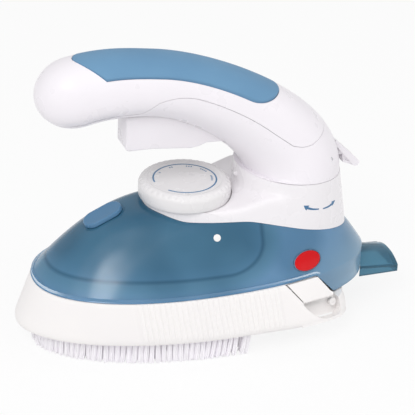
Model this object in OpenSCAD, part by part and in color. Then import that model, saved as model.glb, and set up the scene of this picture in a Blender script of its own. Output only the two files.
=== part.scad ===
// Travel steam iron with a swivelling handle, a clear blue water tank and a clip-on brush.
// Nose towards -X, right-hand side towards +Y, standing on the brush with Z up. Sizes in millimetres.

/* [Brush attachment] */
// Full width of the shroud at its lower edge
shroud_w = 95.4; // [88:0.2:104]
// Length of the shroud from its widest point to the nose
shroud_nose = 105.3; // [100:0.1:112]
// Length of the shroud from its widest point to the rear
shroud_stern = 67; // [64:0.5:72]
// Height of the shroud's lower edge above the bristle tips
shroud_foot = 12; // [9:0.5:16]
// Wall thickness of the shroud
shroud_wall = 2.4; // [1.8:0.1:3]
// Height of the shroud's rear edge, behind the latches
shroud_rear_z = 21; // [18:0.5:22.5]
// Number of grip ribs on each side
rib_count = 28; // [12:1:36]
// Distance between grip ribs
rib_pitch = 2.7; // [2:0.1:3.2]
// How far a grip rib stands out
rib_h = 0.5; // [0.2:0.1:0.9]
// Thickness of the bristle plate
plate_t = 2.2; // [1.6:0.1:2.6]
// Distance between bristle rows
bristle_pitch = 4.1; // [4:0.1:6]
// Width of one bristle tuft
bristle_w = 1.3; // [0.8:0.1:2]

/* [Latches] */
// Length of a latch flap along the rim
latch_len = 18.5; // [15:0.5:20]
// Height of a latch flap
latch_h = 10.7; // [10:0.1:12]
// Thickness of a latch flap
latch_t = 2.6; // [2:0.1:3.2]
// Radius of a latch pin
latch_pin_r = 0.8; // [0.6:0.05:1]

/* [Soleplate] */
// Thickness of the soleplate
sole_t = 11.3; // [9:0.1:12]
// Half width of the soleplate
sole_hw = 35; // [30:0.5:37]
// Radius of a steam hole
steam_hole_r = 1.3; // [0.8:0.1:2]
// Radius of the heating element tube
element_r = 3.2; // [2.5:0.1:4]

/* [Tank] */
// Height of the tank's lower rim
rim_z = 35.5; // [34:0.5:38]
// Full width of the tank at its rim
tank_w = 85.2; // [80:0.2:90]
// Length of the tank from its widest point to the nose
tank_nose = 85.6; // [80:0.2:90]
// Length of the tank from its widest point to the rear
tank_stern = 93; // [91:0.5:96]
// Wall thickness of the tank
tank_wall = 2.2; // [1.6:0.1:3]
// Height of the tank's crown beside the dial
crown_z = 67.6; // [66:0.2:68.6]
// Fall of the crown towards the rear, per millimetre
crown_fall = 0.285; // [0.22:0.005:0.32]
// Lower edge of the rear skirt
skirt_z = 21.5; // [21.5:0.5:25]
// Length of the filler cap
cap_len = 21; // [18:0.5:24]
// Width of the filler cap
cap_w = 12; // [10:0.5:14]
// Full width of the rear hood
hood_w = 26.4; // [23:0.2:29]
// Length of the oval pilot lamp lens
lamp_len = 17; // [14:0.5:19]
// Height of the oval pilot lamp lens
lamp_d = 11.2; // [9:0.2:13]

/* [Housing and hub] */
// Wall thickness of the upper housing
house_wall = 2.2; // [1.8:0.1:3]
// Distance of the swivel axis from the middle of the part
hub_x = 40.6; // [38:0.2:43]
// Height of the swivel seam on its axis
hub_z = 83.5; // [81:0.5:86]
// Radius of the swivel seam
hub_r = 27.5; // [26:0.5:29]
// Backward lean of the swivel axis, in degrees
hub_lean = 5.4; // [4:0.2:7]
// Outer radius of the pivot tube
pivot_r = 12; // [10:0.5:14]

/* [Dial] */
// Distance of the dial's axis in front of the middle
dial_back = 14.6; // [14:0.1:15.2]
// Radius of the dial
dial_r = 23.6; // [22:0.2:24]
// Height of the dial
dial_h = 8.7; // [8:0.1:9.5]
// Radius of the dial's spindle
spindle_r = 3; // [2.5:0.1:3.5]

/* [Handle] */
// Height of the grip's centre line above the swivel seam
grip_rise = 52.9; // [49:0.1:56]
// Distance from the swivel axis to the start of the handle's round end
grip_reach = 113.2; // [108:0.1:118]
// Length of the handle's round end
bulb_len = 20; // [17:0.5:23]
// Thickness of the grip
grip_h = 31.4; // [29:0.2:34]
// Width of the grip
grip_w = 33.6; // [31:0.2:36]
// Thickness of the handle's round end
bulb_h = 34; // [32:0.2:36]
// Wall thickness of the handle shells, without the soft grip
handle_wall = 2.2; // [1.8:0.1:2.6]
// Thickness of the soft grip
soft_t = 1.6; // [1.2:0.1:2]
// Width of the steam trigger
trigger_w = 14.6; // [12:0.2:16]
// Height of the trigger's lower edge above the swivel seam
trigger_drop = 20.3; // [18:0.1:22]
// Radius of the trigger and lever pins
pin_r = 1.5; // [1.2:0.1:2]

/* [Hidden] */

// Running gap between two moving faces
run_gap = 0.3;
// Radial clearance of a pin that turns in its bore
pin_gap = 0.05;
// Seam between two fixed covers
seam_gap = 0.1;
// Overshoot of a cutting solid
over = 1;

function mix(a, b, t) = a + (b - a) * t;

// Power that keeps its sign
function spow(v, p) = sign(v) * pow(abs(v), p);

// Point at angle t on a boat-shaped outline: 0 is the nose, 90 the left side, 180 the rear
function boat(t, cx, nose, stern, hw, nose_p, stern_p) =
  let(c = cos(t), p = c >= 0 ? nose_p : stern_p)
  [cx - (c >= 0 ? nose : stern) * spow(c, 2 / p), -hw * spow(sin(t), 2 / p)];

// Half width of the same outline at a given x
function boat_hw(x, cx, nose, stern, hw, nose_p, stern_p) =
  let(u = min(1, x < cx ? (cx - x) / nose : (x - cx) / stern), p = x < cx ? nose_p : stern_p)
  hw * pow(1 - pow(u, p), 1 / p);

// Solid through a list of closed rings with equal counts, lowest ring first
module loft(rings) {
  n = len(rings[0]);
  m = len(rings);
  points = [for (ring = rings) each ring];
  sides = [for (k = [0:m - 2], i = [0:n - 1]) let(j = (i + 1) % n)
    each [[k * n + i, k * n + n + i, k * n + n + j], [k * n + i, k * n + n + j, k * n + j]]];
  // The end caps are strips across the ring, so that a ring that rises and falls still closes
  strip = [for (i = [0:n / 2 - 1]) let(a = i, b = i + 1, c = (n - i - 1) % n, d = (n - i) % n)
    each (a == d ? [[a, b, c]] : b == c ? [[a, b, d]] : [[a, b, c], [a, c, d]])];
  top = (m - 1) * n;
  caps = [for (f = strip) each [f, [top + f[2], top + f[1], top + f[0]]]];
  polyhedron(points, concat(sides, caps), convexity = 6);
}

// Profile in the XZ plane, drawn out to both sides of the mid plane
module across(width) {
  rotate([90, 0, 0]) linear_extrude(width, center = true) children();
}

// Slot outline with round ends along X
module stadium(length, width) {
  square([length - width, width], center = true);
  for (s = [-1, 1]) translate([s * (length - width) / 2, 0]) circle(d = width, $fn = 48);
}

// Swivel axis frame: origin at the seam, Z along the leaning axis
module at_hub() {
  translate([hub_x, 0, hub_z]) rotate([0, hub_lean, 0]) children();
}
hub_axis = [sin(hub_lean), cos(hub_lean)];

// Slotted screw with its head's top at the origin, pointing down
screw_r = 1.2;
screw_head_r = 2.4;
screw_head_t = 1.4;
module screw(length) {
  translate([0, 0, -length]) cylinder(h = length, r = screw_r, $fn = 32);
  difference() {
    translate([0, 0, -screw_head_t]) cylinder(h = screw_head_t, r = screw_head_r, $fn = 32);
    translate([-0.3, -screw_head_r - over, -screw_head_t / 2])
      cube([0.6, 2 * (screw_head_r + over), screw_head_t]);
  }
}
// Clearance hole for the same screw
module screw_hole(length) {
  translate([0, 0, -length - over]) cylinder(h = length + 2 * over, r = screw_r + seam_gap, $fn = 32);
  translate([0, 0, -screw_head_t - seam_gap]) cylinder(h = 10, r = screw_head_r + seam_gap, $fn = 32);
}

// Brush shroud outline
shroud_cx = 1.5;
shroud_top_z = rim_z - run_gap;
tank_cx = -8.5;
shroud_top_stern = 72;
// Share of the way up the shroud's wall
function shroud_s(z) = (z - shroud_foot) / (rim_z - shroud_foot);
function shroud_hw(x, z, inset) = let(s = shroud_s(z))
  boat_hw(x, mix(shroud_cx, tank_cx, s), mix(shroud_nose, tank_nose, s) - inset,
    mix(shroud_stern, shroud_top_stern, s) - inset, mix(shroud_w, tank_w, s) / 2 - inset,
    mix(2, 2.2, s), mix(5, 3, s));
function shroud_tip(z, inset) = let(s = shroud_s(z))
  mix(shroud_cx - shroud_nose, tank_cx - tank_nose, s) + inset;
function shroud_tail(z, inset) = let(s = shroud_s(z))
  mix(shroud_cx + shroud_stern, tank_cx + shroud_top_stern, s) - inset;
rib_start = -47;
rib_end = rib_start + rib_count * rib_pitch;
nose_steps = 14;
tail_steps = 9;
// Stations along the left side from nose to rear, each an x and a rib height
function shroud_stations(z, inset, ribs) = concat(
  [for (i = [0:nose_steps - 1]) [mix(shroud_tip(z, inset), rib_start, 1 - cos(90 * i / nose_steps)), 0]],
  ribs
    ? [for (i = [0:rib_count - 1]) let(x = rib_start + i * rib_pitch)
        each [[x, 0], [x + rib_pitch * 0.25, rib_h], [x + rib_pitch * 0.6, rib_h], [x + rib_pitch * 0.85, 0]]]
    : [for (i = [0:11]) [mix(rib_start, rib_end, i / 12), 0]],
  [for (i = [0:tail_steps]) [mix(rib_end, shroud_tail(z, inset), sin(90 * i / tail_steps)), 0]]);
function shroud_ring(z, inset, ribs) = let(
    left = [for (s = shroud_stations(z, inset, ribs)) [s[0], -shroud_hw(s[0], z, inset) - s[1], z]],
    last = len(left) - 1)
  concat(left, [for (i = [last - 1:-1:1]) [left[i][0], -left[i][1], left[i][2]]]);

module shroud_solid(inset, z0, z1, ribs = false) {
  loft([shroud_ring(z0, inset, ribs), shroud_ring(z1, inset, ribs)]);
}

// Frame of the left latch: X along the rim, Y into the wall, Z up the wall
latch_x = 41.2;
latch_turn = 12;
// The flap stands a little steeper than the leaning wall
wall_lean = atan((shroud_hw(latch_x, shroud_foot, 0) - shroud_hw(latch_x, rim_z, 0)) / (rim_z - shroud_foot));
latch_upright = 3.45;
latch_tilt = wall_lean - latch_upright;
latch_z = shroud_top_z - latch_h / 2 * cos(latch_tilt);
latch_skew = 0.75;
latch_gap = 0.4;
// More room along the flap's slanting sides, which move along the slant as it swings
latch_swing = 0.5;
module at_latch() {
  translate([latch_x, -shroud_hw(latch_x, latch_z, 0), latch_z])
    rotate([0, 0, latch_turn]) rotate([-latch_tilt, 0, 0]) children();
}
// Leaning outline of the flap, in the latch frame, seen from outside
module latch_outline(grow, swing = 0) {
  rise = latch_h / 2 + grow;
  side = latch_len / 2 + grow + swing;
  polygon([[-side - latch_skew * rise, rise], [side - latch_skew * rise, rise],
    [side + latch_skew * rise, -rise], [-side + latch_skew * rise, -rise]]);
}
latch_axis_z = latch_h / 2 - 3;
latch_axis_x = -latch_skew * latch_axis_z;
// The pin is held in the wall in front of the flap
latch_pin_shift = -1.5;
scoop_h = 11.8;
// The scoop runs on behind the flap's lip, where its peg stands
scoop_gap = 4.6;
scoop_run = 14;
scoop_depth = 6.5;
scoop_round = 4;
scoop_x0 = -latch_len / 2 + latch_skew * latch_h / 2;
scoop_x1 = latch_len / 2 + latch_skew * latch_h / 2 + scoop_gap;
scoop_len = scoop_x1 - scoop_x0;
scoop_z0 = -latch_h / 2 - scoop_h;
scoop_z1 = -latch_h / 2 - latch_t / 2 - latch_gap;
// Finger scoop below the flap and its lip, in the latch frame
module scoop_outline() {
  polygon([[scoop_x0 - latch_gap, -latch_h / 2 + over], [scoop_x1, -latch_h / 2 + over],
    for (a = [0:15:90]) [scoop_x1, scoop_z0] + scoop_round * [cos(a) - 1, 1 - sin(a)],
    for (t = [1:-0.2:0])
      [scoop_x0 - latch_gap + scoop_run * t, mix(scoop_z0, scoop_z1, pow(1 - t, 2))]]);
}
module latch_prism(y0, y1) {
  translate([0, y1, 0]) rotate([90, 0, 0]) linear_extrude(y1 - y0) children();
}
module both_sides() {
  children();
  mirror([0, 1, 0]) children();
}

plate_z = shroud_foot + 1;
pad_h = 1;
sole_z = plate_z + plate_t + pad_h;
sole_top = sole_z + sole_t;

// Line where the shroud's rim drops to its rear edge
drop_x = latch_x + 4.3;
drop_run = 9;
pocket_t = 2.5;
peg_r = 2.2;
peg_place = [scoop_x1 - peg_r - 0.6, scoop_z0 + 6.4];
module latch_bore(length, r) {
  translate([latch_axis_x + latch_pin_shift, latch_t / 2, latch_axis_z]) rotate([0, 90, 0])
    cylinder(h = length, r = r, center = true, $fn = 32);
}
module brush_shroud() color("whitesmoke") {
  difference() {
    union() {
      difference() {
        shroud_solid(0, shroud_foot, shroud_top_z, true);
        shroud_solid(shroud_wall, shroud_foot - over, shroud_top_z + over);
      }
      // Pocket blocks behind the latches and scoops
      intersection() {
        shroud_solid(0.2, shroud_foot, shroud_rear_z);
        both_sides() at_latch() translate([scoop_x0 - 2, -1, scoop_z0 - 1.5])
          cube([scoop_len + 8, scoop_depth + pocket_t + 1, scoop_h + 5]);
      }
    }
    // Lower rear edge behind the latches
    across(2 * shroud_w) polygon([[drop_x, rim_z + over], [drop_x, rim_z - 3],
      [drop_x + drop_run, shroud_rear_z], [shroud_cx + shroud_stern + over, shroud_rear_z],
      [shroud_cx + shroud_stern + over, rim_z + over]]);
    both_sides() at_latch() {
      latch_prism(-10, scoop_depth) latch_outline(latch_gap, latch_swing);
      latch_prism(-10, scoop_depth) scoop_outline();
      latch_bore(latch_len + 3.8, latch_pin_r);
    }
  }
  // Round peg in each scoop
  both_sides() at_latch() translate([peg_place[0], scoop_depth + 1, peg_place[1]]) rotate([90, 0, 0])
    cylinder(h = 3.4, r = peg_r, $fn = 32);
}

plate_inset = shroud_wall + 0.2;
module bristle_plate() color("white") {
  top_ring = shroud_ring(plate_z + plate_t, plate_inset, false);
  difference() {
    union() {
      translate([0, 0, plate_z]) linear_extrude(plate_t) polygon([for (p = top_ring) [p[0], p[1]]]);
      // Pads that the soleplate stands on
      for (x = [-60, -20, 20], y = [-14, 14])
        translate([x, y, plate_z + plate_t]) cylinder(h = pad_h - seam_gap, r = 3, $fn = 32);
    }
    // Room for the latch pockets
    both_sides() at_latch() translate([scoop_x0 - 4, -12, scoop_z0 - 6])
      cube([scoop_len + 13, scoop_depth + pocket_t + 12.6, scoop_h + latch_h]);
    at_brush_screws() screw_hole(plate_t);
    // Steam slots
    for (x = [-70:14:28])
      translate([x, 0, plate_z - over]) linear_extrude(plate_t + 2 * over) stadium(9, 3);
  }
}

// Bristle field: rows across the brush, each spread evenly up to a border inside the shroud's lower edge
bristle_inset = 5;
bristle_front = shroud_tip(shroud_foot, 0) + bristle_inset + 1.5;
bristle_rear = 8;
function row_hw(x) = shroud_hw(x, shroud_foot, bristle_inset);
bristle_places = [for (x = [bristle_front:bristle_pitch:bristle_rear])
  let(n = max(1, floor(2 * row_hw(x) / bristle_pitch))) for (i = [0:n]) [x, row_hw(x) * (2 * i / n - 1)]];
backing_t = 1;
backing_border = 2;
module bristles() color("lavender") {
  // Each tuft is a square strand, turned so that its edges catch the light
  linear_extrude(plate_z - backing_t / 2)
    for (p = bristle_places) translate(p) rotate(45) square(bristle_w, center = true);
  // Slice of the backing that the tufts are fused to
  translate([0, 0, plate_z - backing_t]) linear_extrude(backing_t) intersection() {
    polygon([for (p = shroud_ring(shroud_foot, bristle_inset - backing_border, false)) [p[0], p[1]]]);
    translate([shroud_tip(shroud_foot, 0), -shroud_w])
      square([bristle_rear - shroud_tip(shroud_foot, 0) + backing_border, 2 * shroud_w]);
  }
}

// Screws that hold the bristles' backing to the plate
brush_screw_places = [[-80, 0], [-40, 24], [-40, -24], [0, 24], [0, -24]];
module at_brush_screws() {
  for (p = brush_screw_places) translate([p[0], p[1], plate_z + plate_t + 0.4]) children();
}
module brush_screws() color("silver") at_brush_screws() screw(plate_t + 0.4 + 0.8 * backing_t);

// One latch flap on the left, hinged on a pin near its upper edge
module latch() {
  at_latch() difference() {
    union() {
      latch_prism(0, latch_t) latch_outline(0);
      // Rounded lower lip for the finger
      translate([latch_skew * latch_h / 2, latch_t / 2, -latch_h / 2]) rotate([0, 90, 0])
        cylinder(h = latch_len, r = latch_t / 2, center = true, $fn = 32);
    }
    latch_bore(latch_len + 8, latch_pin_r + pin_gap);
  }
}
module latch_left() color("white") latch();
module latch_right() color("white") mirror([0, 1, 0]) latch();
module latch_pins() color("silver") both_sides() at_latch() latch_bore(latch_len + 3.2, latch_pin_r);

// Soleplate and the heater on it
sole_cx = tank_cx;
sole_nose = 77;
// The soleplate ends this far in front of the tank's rear
sole_rear_gap = 32;
sole_stern = tank_stern - sole_rear_gap;
sole_tail = sole_cx + sole_stern;
function sole_outline(grow, n = 72) = [for (i = [0:n - 1])
  boat(360 * i / n, sole_cx, sole_nose + grow, sole_stern + grow, sole_hw + grow, 2.1, 2.4)];
element_hw = 17;
element_front = -45;
element_rear = sole_tail - 15.5;
element_z = sole_top + element_r * 0.6;
steam_rows = [[-72, 0], [-60, 9], [-60, -9], [-46, 16], [-46, -16], [-30, 22], [-30, -22],
  [-12, 25], [-12, -25], [6, 25], [6, -25]];

module element_path(r) {
  for (s = [-1, 1]) translate([element_front, s * element_hw, element_z]) rotate([0, 90, 0])
    cylinder(h = element_rear - element_front, r = r, $fn = 48);
  translate([element_front, 0, element_z]) rotate([0, 0, 90]) rotate_extrude(angle = 180, $fn = 96)
    translate([element_hw, 0]) circle(r = r, $fn = 48);
}
module soleplate() color("silver") difference() {
  translate([0, 0, sole_z]) linear_extrude(sole_t) polygon(sole_outline(0));
  element_path(element_r + seam_gap);
  for (p = steam_rows) translate([p[0], p[1], sole_z - over])
    cylinder(h = sole_t + 2 * over, r = steam_hole_r, $fn = 24);
}
module heating_element() color("dimgray") {
  element_path(element_r);
  // Cold ends for the wires
  for (s = [-1, 1]) translate([element_rear, s * element_hw, element_z]) rotate([0, 90, 0])
    cylinder(h = 7, r = 1.2, $fn = 24);
}

// Steam chamber between the legs of the heater
chamber_x0 = -56;
chamber_x1 = -26;
chamber_hw = 11;
nozzle_x = (chamber_x0 + chamber_x1) / 2;
gasket_t = 0.8;
cover_t = 2;
module chamber_outline(inset) {
  translate([nozzle_x, 0]) stadium(chamber_x1 - chamber_x0 - 2 * inset, 2 * (chamber_hw - inset));
}
module chamber_gasket() color("firebrick") translate([0, 0, sole_top]) linear_extrude(gasket_t) difference() {
  chamber_outline(0);
  chamber_outline(4.5);
}
chamber_screw_places = [[-50, 0], [-32, 0]];
cover_z = sole_top + gasket_t;
nozzle_r = 2.4;
module steam_chamber_cover() color("gainsboro") difference() {
  translate([0, 0, cover_z]) linear_extrude(cover_t) chamber_outline(0);
  translate([nozzle_x, 0, cover_z - over]) cylinder(h = cover_t + 2 * over, r = nozzle_r, $fn = 32);
  for (p = chamber_screw_places) translate([p[0], p[1], cover_z - over])
    cylinder(h = cover_t + 2 * over, r = 1.3, $fn = 24);
}
module chamber_screws() color("silver") for (p = chamber_screw_places)
  translate([p[0], p[1], cover_z + cover_t + 1.4]) screw(cover_t + 1.4);

// Thermostat under the dial
dial_x = -dial_back;
stat_r = 9;
stat_h = 4.6;
module thermostat() color("tan") {
  translate([dial_x, 0, sole_top]) cylinder(h = stat_h, r = stat_r, $fn = 48);
  translate([dial_x, 0, sole_top + stat_h]) cylinder(h = 3, r = 4, $fn = 32);
  translate([dial_x + stat_r - 2, -3, sole_top]) cube([12, 6, 2]);
}
stat_top = sole_top + stat_h + 3;

fuse_r = 2;
module thermal_fuse() color("ivory") {
  translate([10, 0, sole_top + fuse_r]) rotate([0, 90, 0]) cylinder(h = 14, r = fuse_r, $fn = 32);
  translate([6, 0, sole_top + fuse_r]) rotate([0, 90, 0]) cylinder(h = 22, r = 0.5, $fn = 16);
}

// Heat-resistant frame between the soleplate and the tank
frame_t = 2.5;
frame_z = rim_z - frame_t - 0.2;
frame_inset = tank_wall + 0.4;
function tank_outline(inset, n = 72) = [for (i = [0:n - 1])
  boat(360 * i / n, tank_cx, tank_nose - inset, tank_stern - inset, tank_w / 2 - inset, 2.2, 2.2)];
notch_top_x = latch_x + 4.9;
notch_bottom_x = notch_top_x + 12.7;
// Cord inlet at the rear, inside the skirt
gland_z = skirt_z + 10;
gland_r = 4.4;
gland_boss_r = 5.4;
cord_r = 3;
gland_len = 12.5;
rear_wall_x = tank_cx + tank_stern - 10;
gland_x0 = rear_wall_x - 4;
rear_floor_z = skirt_z + 0.4;
rear_floor_t = 2;
// The rear pan starts clear of the soleplate
frame_step_x = sole_tail + 3.5;
module frame_outline(inset) {
  polygon(tank_outline(frame_inset + inset));
}
module base_frame() color("dimgray") {
  difference() {
    union() {
      translate([0, 0, frame_z]) linear_extrude(frame_t) difference() {
        frame_outline(1.6);
        // Window over the heater, steam chamber and thermostat
        polygon(sole_outline(-12));
      }
      // Rear pan below the electrics
      intersection() {
        translate([0, 0, rear_floor_z]) linear_extrude(frame_z - rear_floor_z + 0.5) frame_outline(1.6);
        translate([frame_step_x, -tank_w / 2, rear_floor_z]) cube([60, tank_w, 40]);
      }
      translate([gland_x0, 0, gland_z]) rotate([0, 90, 0]) cylinder(h = 9, r = gland_boss_r, $fn = 48);
    }
    // Inside of the rear pan
    intersection() {
      translate([0, 0, rear_floor_z + rear_floor_t]) linear_extrude(40) frame_outline(4);
      translate([frame_step_x + rear_floor_t, -tank_w / 2, rear_floor_z])
        cube([gland_x0 - frame_step_x - rear_floor_t, tank_w, 40]);
    }
    translate([gland_x0 - 2, 0, gland_z]) rotate([0, 90, 0]) cylinder(h = 40, r = gland_r, $fn = 48);
    for (p = base_screw_places) translate([p[0], p[1], frame_z - over]) cylinder(h = 10, r = 1.3, $fn = 24);
  }
  // Legs that stand on the soleplate
  for (p = leg_places) translate([p[0], p[1], sole_top])
    cylinder(h = frame_z - sole_top + 0.5, r = 2.6, $fn = 32);
}
base_screw_places = [[-68, 12], [-68, -12], [24, 28], [24, -28]];
leg_rear_x = sole_tail - 17.5;
leg_places = [[-58, 23], [-58, -23], [-4, 31.5], [-4, -31.5], [leg_rear_x, 24], [leg_rear_x, -24]];
module base_screws() color("silver") for (p = base_screw_places)
  translate([p[0], p[1], frame_z]) mirror([0, 0, 1]) translate([0, 0, 1.4]) screw(frame_t + 2.6);

// Terminal block in the rear pan
block_l = 10;
block_x = frame_step_x + rear_floor_t + over;
module terminal_block() color("beige") difference() {
  translate([block_x, -8, rear_floor_z + rear_floor_t]) cube([block_l, 16, 9]);
  for (y = [-4, 4]) translate([block_x + block_l / 2, y, rear_floor_z + 6])
    cylinder(h = 6, r = 1.6, $fn = 24);
}
module cord_gland() color("dimgray") difference() {
  translate([gland_x0, 0, gland_z]) rotate([0, 90, 0]) cylinder(h = gland_len, r = gland_r, $fn = 48);
  translate([gland_x0 - over, 0, gland_z]) rotate([0, 90, 0])
    cylinder(h = gland_len + 2 * over, r = cord_r, $fn = 48);
}

// Upper housing outline at angle t and height z: the dial's round front, and the round hub at the rear
house_foot_z = 48;
house_front_x = -36.5;
house_nose_p = 2.4;
function house_pt(t, z, inset) = let(s = (z - house_foot_z) / (hub_z - house_foot_z),
    cx = mix(31.5, hub_x, s))
  boat(t, cx, cx - house_front_x - inset, mix(43, hub_r, s) - inset, mix(30, hub_r, s) - inset,
    house_nose_p, 2);
// Height of the line where the white housing meets the tank: it rises in front and falls behind a soft bend
crown_rise = 3.5;
crown_rise_x = -19;
crown_bend = 11;
crown_soft = 4;
function past_bend(d) = (d + sqrt(d * d + crown_soft * crown_soft)) / 2;
function crown_at(x) = crown_z - crown_fall * past_bend(x - crown_bend)
  + crown_rise * smooth((crown_rise_x - x) / (crown_rise_x - house_front_x));

// Tank surface: a short vertical rim, then an arch that leans in to the housing's lower edge
nose_arch = 2;
side_arch = 1.15;
stern_arch = 1.1;
arch_steps = 8;
tank_n = 72;
function arch_power(t) = mix(side_arch, cos(t) > 0 ? nose_arch : stern_arch, pow(cos(t), 4));
function tank_top(t, inset) = let(p = house_pt(t, crown_at(house_pt(t, 60, 0)[0]), inset))
  [p[0], p[1], crown_at(p[0]) - inset];
function tank_rim(t, inset) =
  boat(t, tank_cx, tank_nose - inset, tank_stern - inset, tank_w / 2 - inset, 2.2, 2.2);
function tank_ring(k, inset) = let(in = k / arch_steps)
  [for (i = [0:tank_n - 1]) let(t = 360 * i / tank_n, low = tank_rim(t, inset), high = tank_top(t, inset))
    [mix(low[0], high[0], in), mix(low[1], high[1], in),
      mix(rim_z, high[2], 1 - pow(1 - in, arch_power(t)))]];
function tank_foot(z, inset) =
  [for (i = [0:tank_n - 1]) let(p = tank_rim(360 * i / tank_n, inset)) [p[0], p[1], z]];
module tank_solid(inset, z0) {
  loft(concat([tank_foot(z0, inset)], [for (k = [0:arch_steps]) tank_ring(k, inset)]));
}

// Filler cap frame: tangent to the tank in front of the dial
cap_x = -57.5;
cap_share = (cap_x - tank_cx + tank_nose) / (house_front_x - tank_cx + tank_nose);
crown_front = crown_at(house_front_x);
cap_z = mix(rim_z, crown_front, 1 - pow(1 - cap_share, nose_arch));
cap_slope = atan((crown_front - rim_z) / (house_front_x - tank_cx + tank_nose)
  * nose_arch * pow(1 - cap_share, nose_arch - 1));
module at_cap() {
  translate([cap_x, 0, cap_z]) rotate([0, -cap_slope, 0]) children();
}
cap_t = 2.4;
cap_under = -0.5;
cap_gap = 0.4;
seat_z = cap_under - run_gap;
plug_h = 3;
plug_len = cap_len - 7;
plug_w = cap_w - 4.4;
plug_gap = 0.7;
// Pilot lamp frame: Z out of the tank's left side near the rear
lamp_x = 40.7;
lamp_z = 43.8;
lamp_in = 3.4;
lamp_turn = 14;
lamp_tilt = 18;
function tank_hw_at(x) = boat_hw(x, tank_cx, tank_nose, tank_stern, tank_w / 2, 2.2, 2.2);
module at_lamp() {
  translate([lamp_x, -tank_hw_at(lamp_x) + lamp_in, lamp_z])
    rotate([0, 0, lamp_turn]) rotate([90 - lamp_tilt, 0, 0]) children();
}

module lamp_oval(h, grow) {
  linear_extrude(h) scale([(lamp_len + 2 * grow) / (lamp_d + 2 * grow), 1])
    circle(d = lamp_d + 2 * grow, $fn = 64);
}

spindle_tube_r = 5.6;
module tank_shell() color("steelblue", 0.6) difference() {
  union() {
    difference() {
      tank_solid(0, skirt_z);
      tank_solid(tank_wall, skirt_z - over);
    }
    // Seat of the filler cap
    at_cap() translate([0, 0, seat_z - 4]) linear_extrude(4) stadium(cap_len + 2, cap_w + 2);
    // Boss for the lamp lens
    at_lamp() translate([0, 0, -4]) lamp_oval(4, 1.5);
  }
  // Lower rim in front of the rear skirt
  across(2 * tank_w) polygon([[-150, 0], [-150, rim_z], [notch_top_x, rim_z],
    [notch_bottom_x, skirt_z - over], [notch_bottom_x, 0]]);
  // Recess for the cap, and the filler hole
  at_cap() {
    translate([0, 0, seat_z]) linear_extrude(20) stadium(cap_len + 2 * cap_gap, cap_w + 2 * cap_gap);
    translate([0, 0, -12]) linear_extrude(20) stadium(plug_len + 2 * plug_gap, plug_w + 2 * plug_gap);
  }
  at_lamp() translate([0, 0, -20]) lamp_oval(40, seam_gap);
  // Spindle, pump and cord pass through
  translate([dial_x, 0, crown_z - 12]) cylinder(h = 20, r = spindle_tube_r + 0.6, $fn = 48);
  at_hub() translate([0, 0, -45]) cylinder(h = 40, r = pump_r + 1, $fn = 48);
  translate([gland_x0, 0, gland_z]) rotate([0, 90, 0]) cylinder(h = 40, r = gland_boss_r + 0.6, $fn = 48);
}

// Floor of the reservoir, with its rear wall and the tube round the dial's spindle
floor_z = rim_z + seam_gap;
floor_t = 1.6;
floor_inset = tank_wall + 1.8;
bulkhead_x = 15;
bulkhead_h = 20;
bulkhead_r = 30;
bulkhead_hw = 26;
seal_h = 1.1;
seal_z = crown_z - tank_wall - seal_h - seam_gap;
module tank_floor() color("steelblue", 0.6) difference() {
  union() {
    translate([0, 0, floor_z]) linear_extrude(floor_t) intersection() {
      polygon(tank_outline(floor_inset));
      translate([-150, -tank_w / 2]) square([150 + bulkhead_x + 16, tank_w]);
    }
    intersection() {
      translate([bulkhead_x - bulkhead_r + 2, 0, floor_z]) difference() {
        cylinder(h = bulkhead_h + floor_t, r = bulkhead_r, $fn = 96);
        translate([0, 0, -over]) cylinder(h = bulkhead_h + floor_t + 2 * over, r = bulkhead_r - 2, $fn = 96);
      }
      translate([bulkhead_x - 10, -bulkhead_hw, floor_z]) cube([60, 2 * bulkhead_hw, 60]);
    }
    translate([dial_x, 0, floor_z]) cylinder(h = seal_z - floor_z, r = spindle_tube_r, $fn = 48);
  }
  translate([dial_x, 0, floor_z - over]) cylinder(h = 60, r = spindle_tube_r - 1.4, $fn = 48);
  translate([nozzle_x, 0, floor_z - over]) cylinder(h = 10, r = nozzle_r + seam_gap, $fn = 32);
  for (p = base_screw_places) translate([p[0], p[1], floor_z - over]) cylinder(h = 10, r = 1.2, $fn = 24);
}
module tank_seal() color("dimgray") translate([dial_x, 0, seal_z]) difference() {
  cylinder(h = seal_h, r = spindle_tube_r, $fn = 48);
  translate([0, 0, -over]) cylinder(h = seal_h + 2 * over, r = spindle_tube_r - 1.4, $fn = 48);
}

// Rear hood: an arched cover behind the tank that slopes down to its tip
hood_tip_x = shroud_nose - shroud_cx;
hood_tip_z = skirt_z + 2.5;
hood_edge_z = hood_tip_z - 3.6;
hood_t = 1.8;
hood_run = hood_tip_x - tank_cx - tank_stern;
hood_len = hood_run + hood_w / 2;
hood_foot_z = sole_z + 0.4;
hood_steps = 6;
hood_n = 8;
// Height of the ridge and of the side's upper edge at a distance in front of the tip
function hood_ridge(d) = hood_tip_z + 0.2 * d - 0.0016 * d * d;
function hood_edge(d) = hood_edge_z + 0.07 * d;
function hood_top(d, v) = mix(hood_ridge(d), hood_edge(d), pow(v, 2.3));
function hood_ring(d, inset, foot) = let(x = hood_tip_x - d, hw = hood_w / 2 - inset)
  concat([for (i = [0:hood_n]) [x, -hw * i / hood_n, hood_top(d, i / hood_n) - inset]],
    [[x, -hw, foot], [x, hw, foot]],
    [for (i = [hood_n:-1:1]) [x, hw * i / hood_n, hood_top(d, i / hood_n) - inset]]);
module hood_solid(inset, foot) {
  loft([for (k = [0:hood_steps]) hood_ring(mix(hood_len, inset, k / hood_steps), inset, foot)]);
}
module rear_hood() color("steelblue", 0.6) difference() {
  hood_solid(0, hood_foot_z);
  hood_solid(hood_t, hood_foot_z - over);
  // The tank's rear with a thin joint
  linear_extrude(60) polygon(tank_outline(-seam_gap));
}

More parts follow.
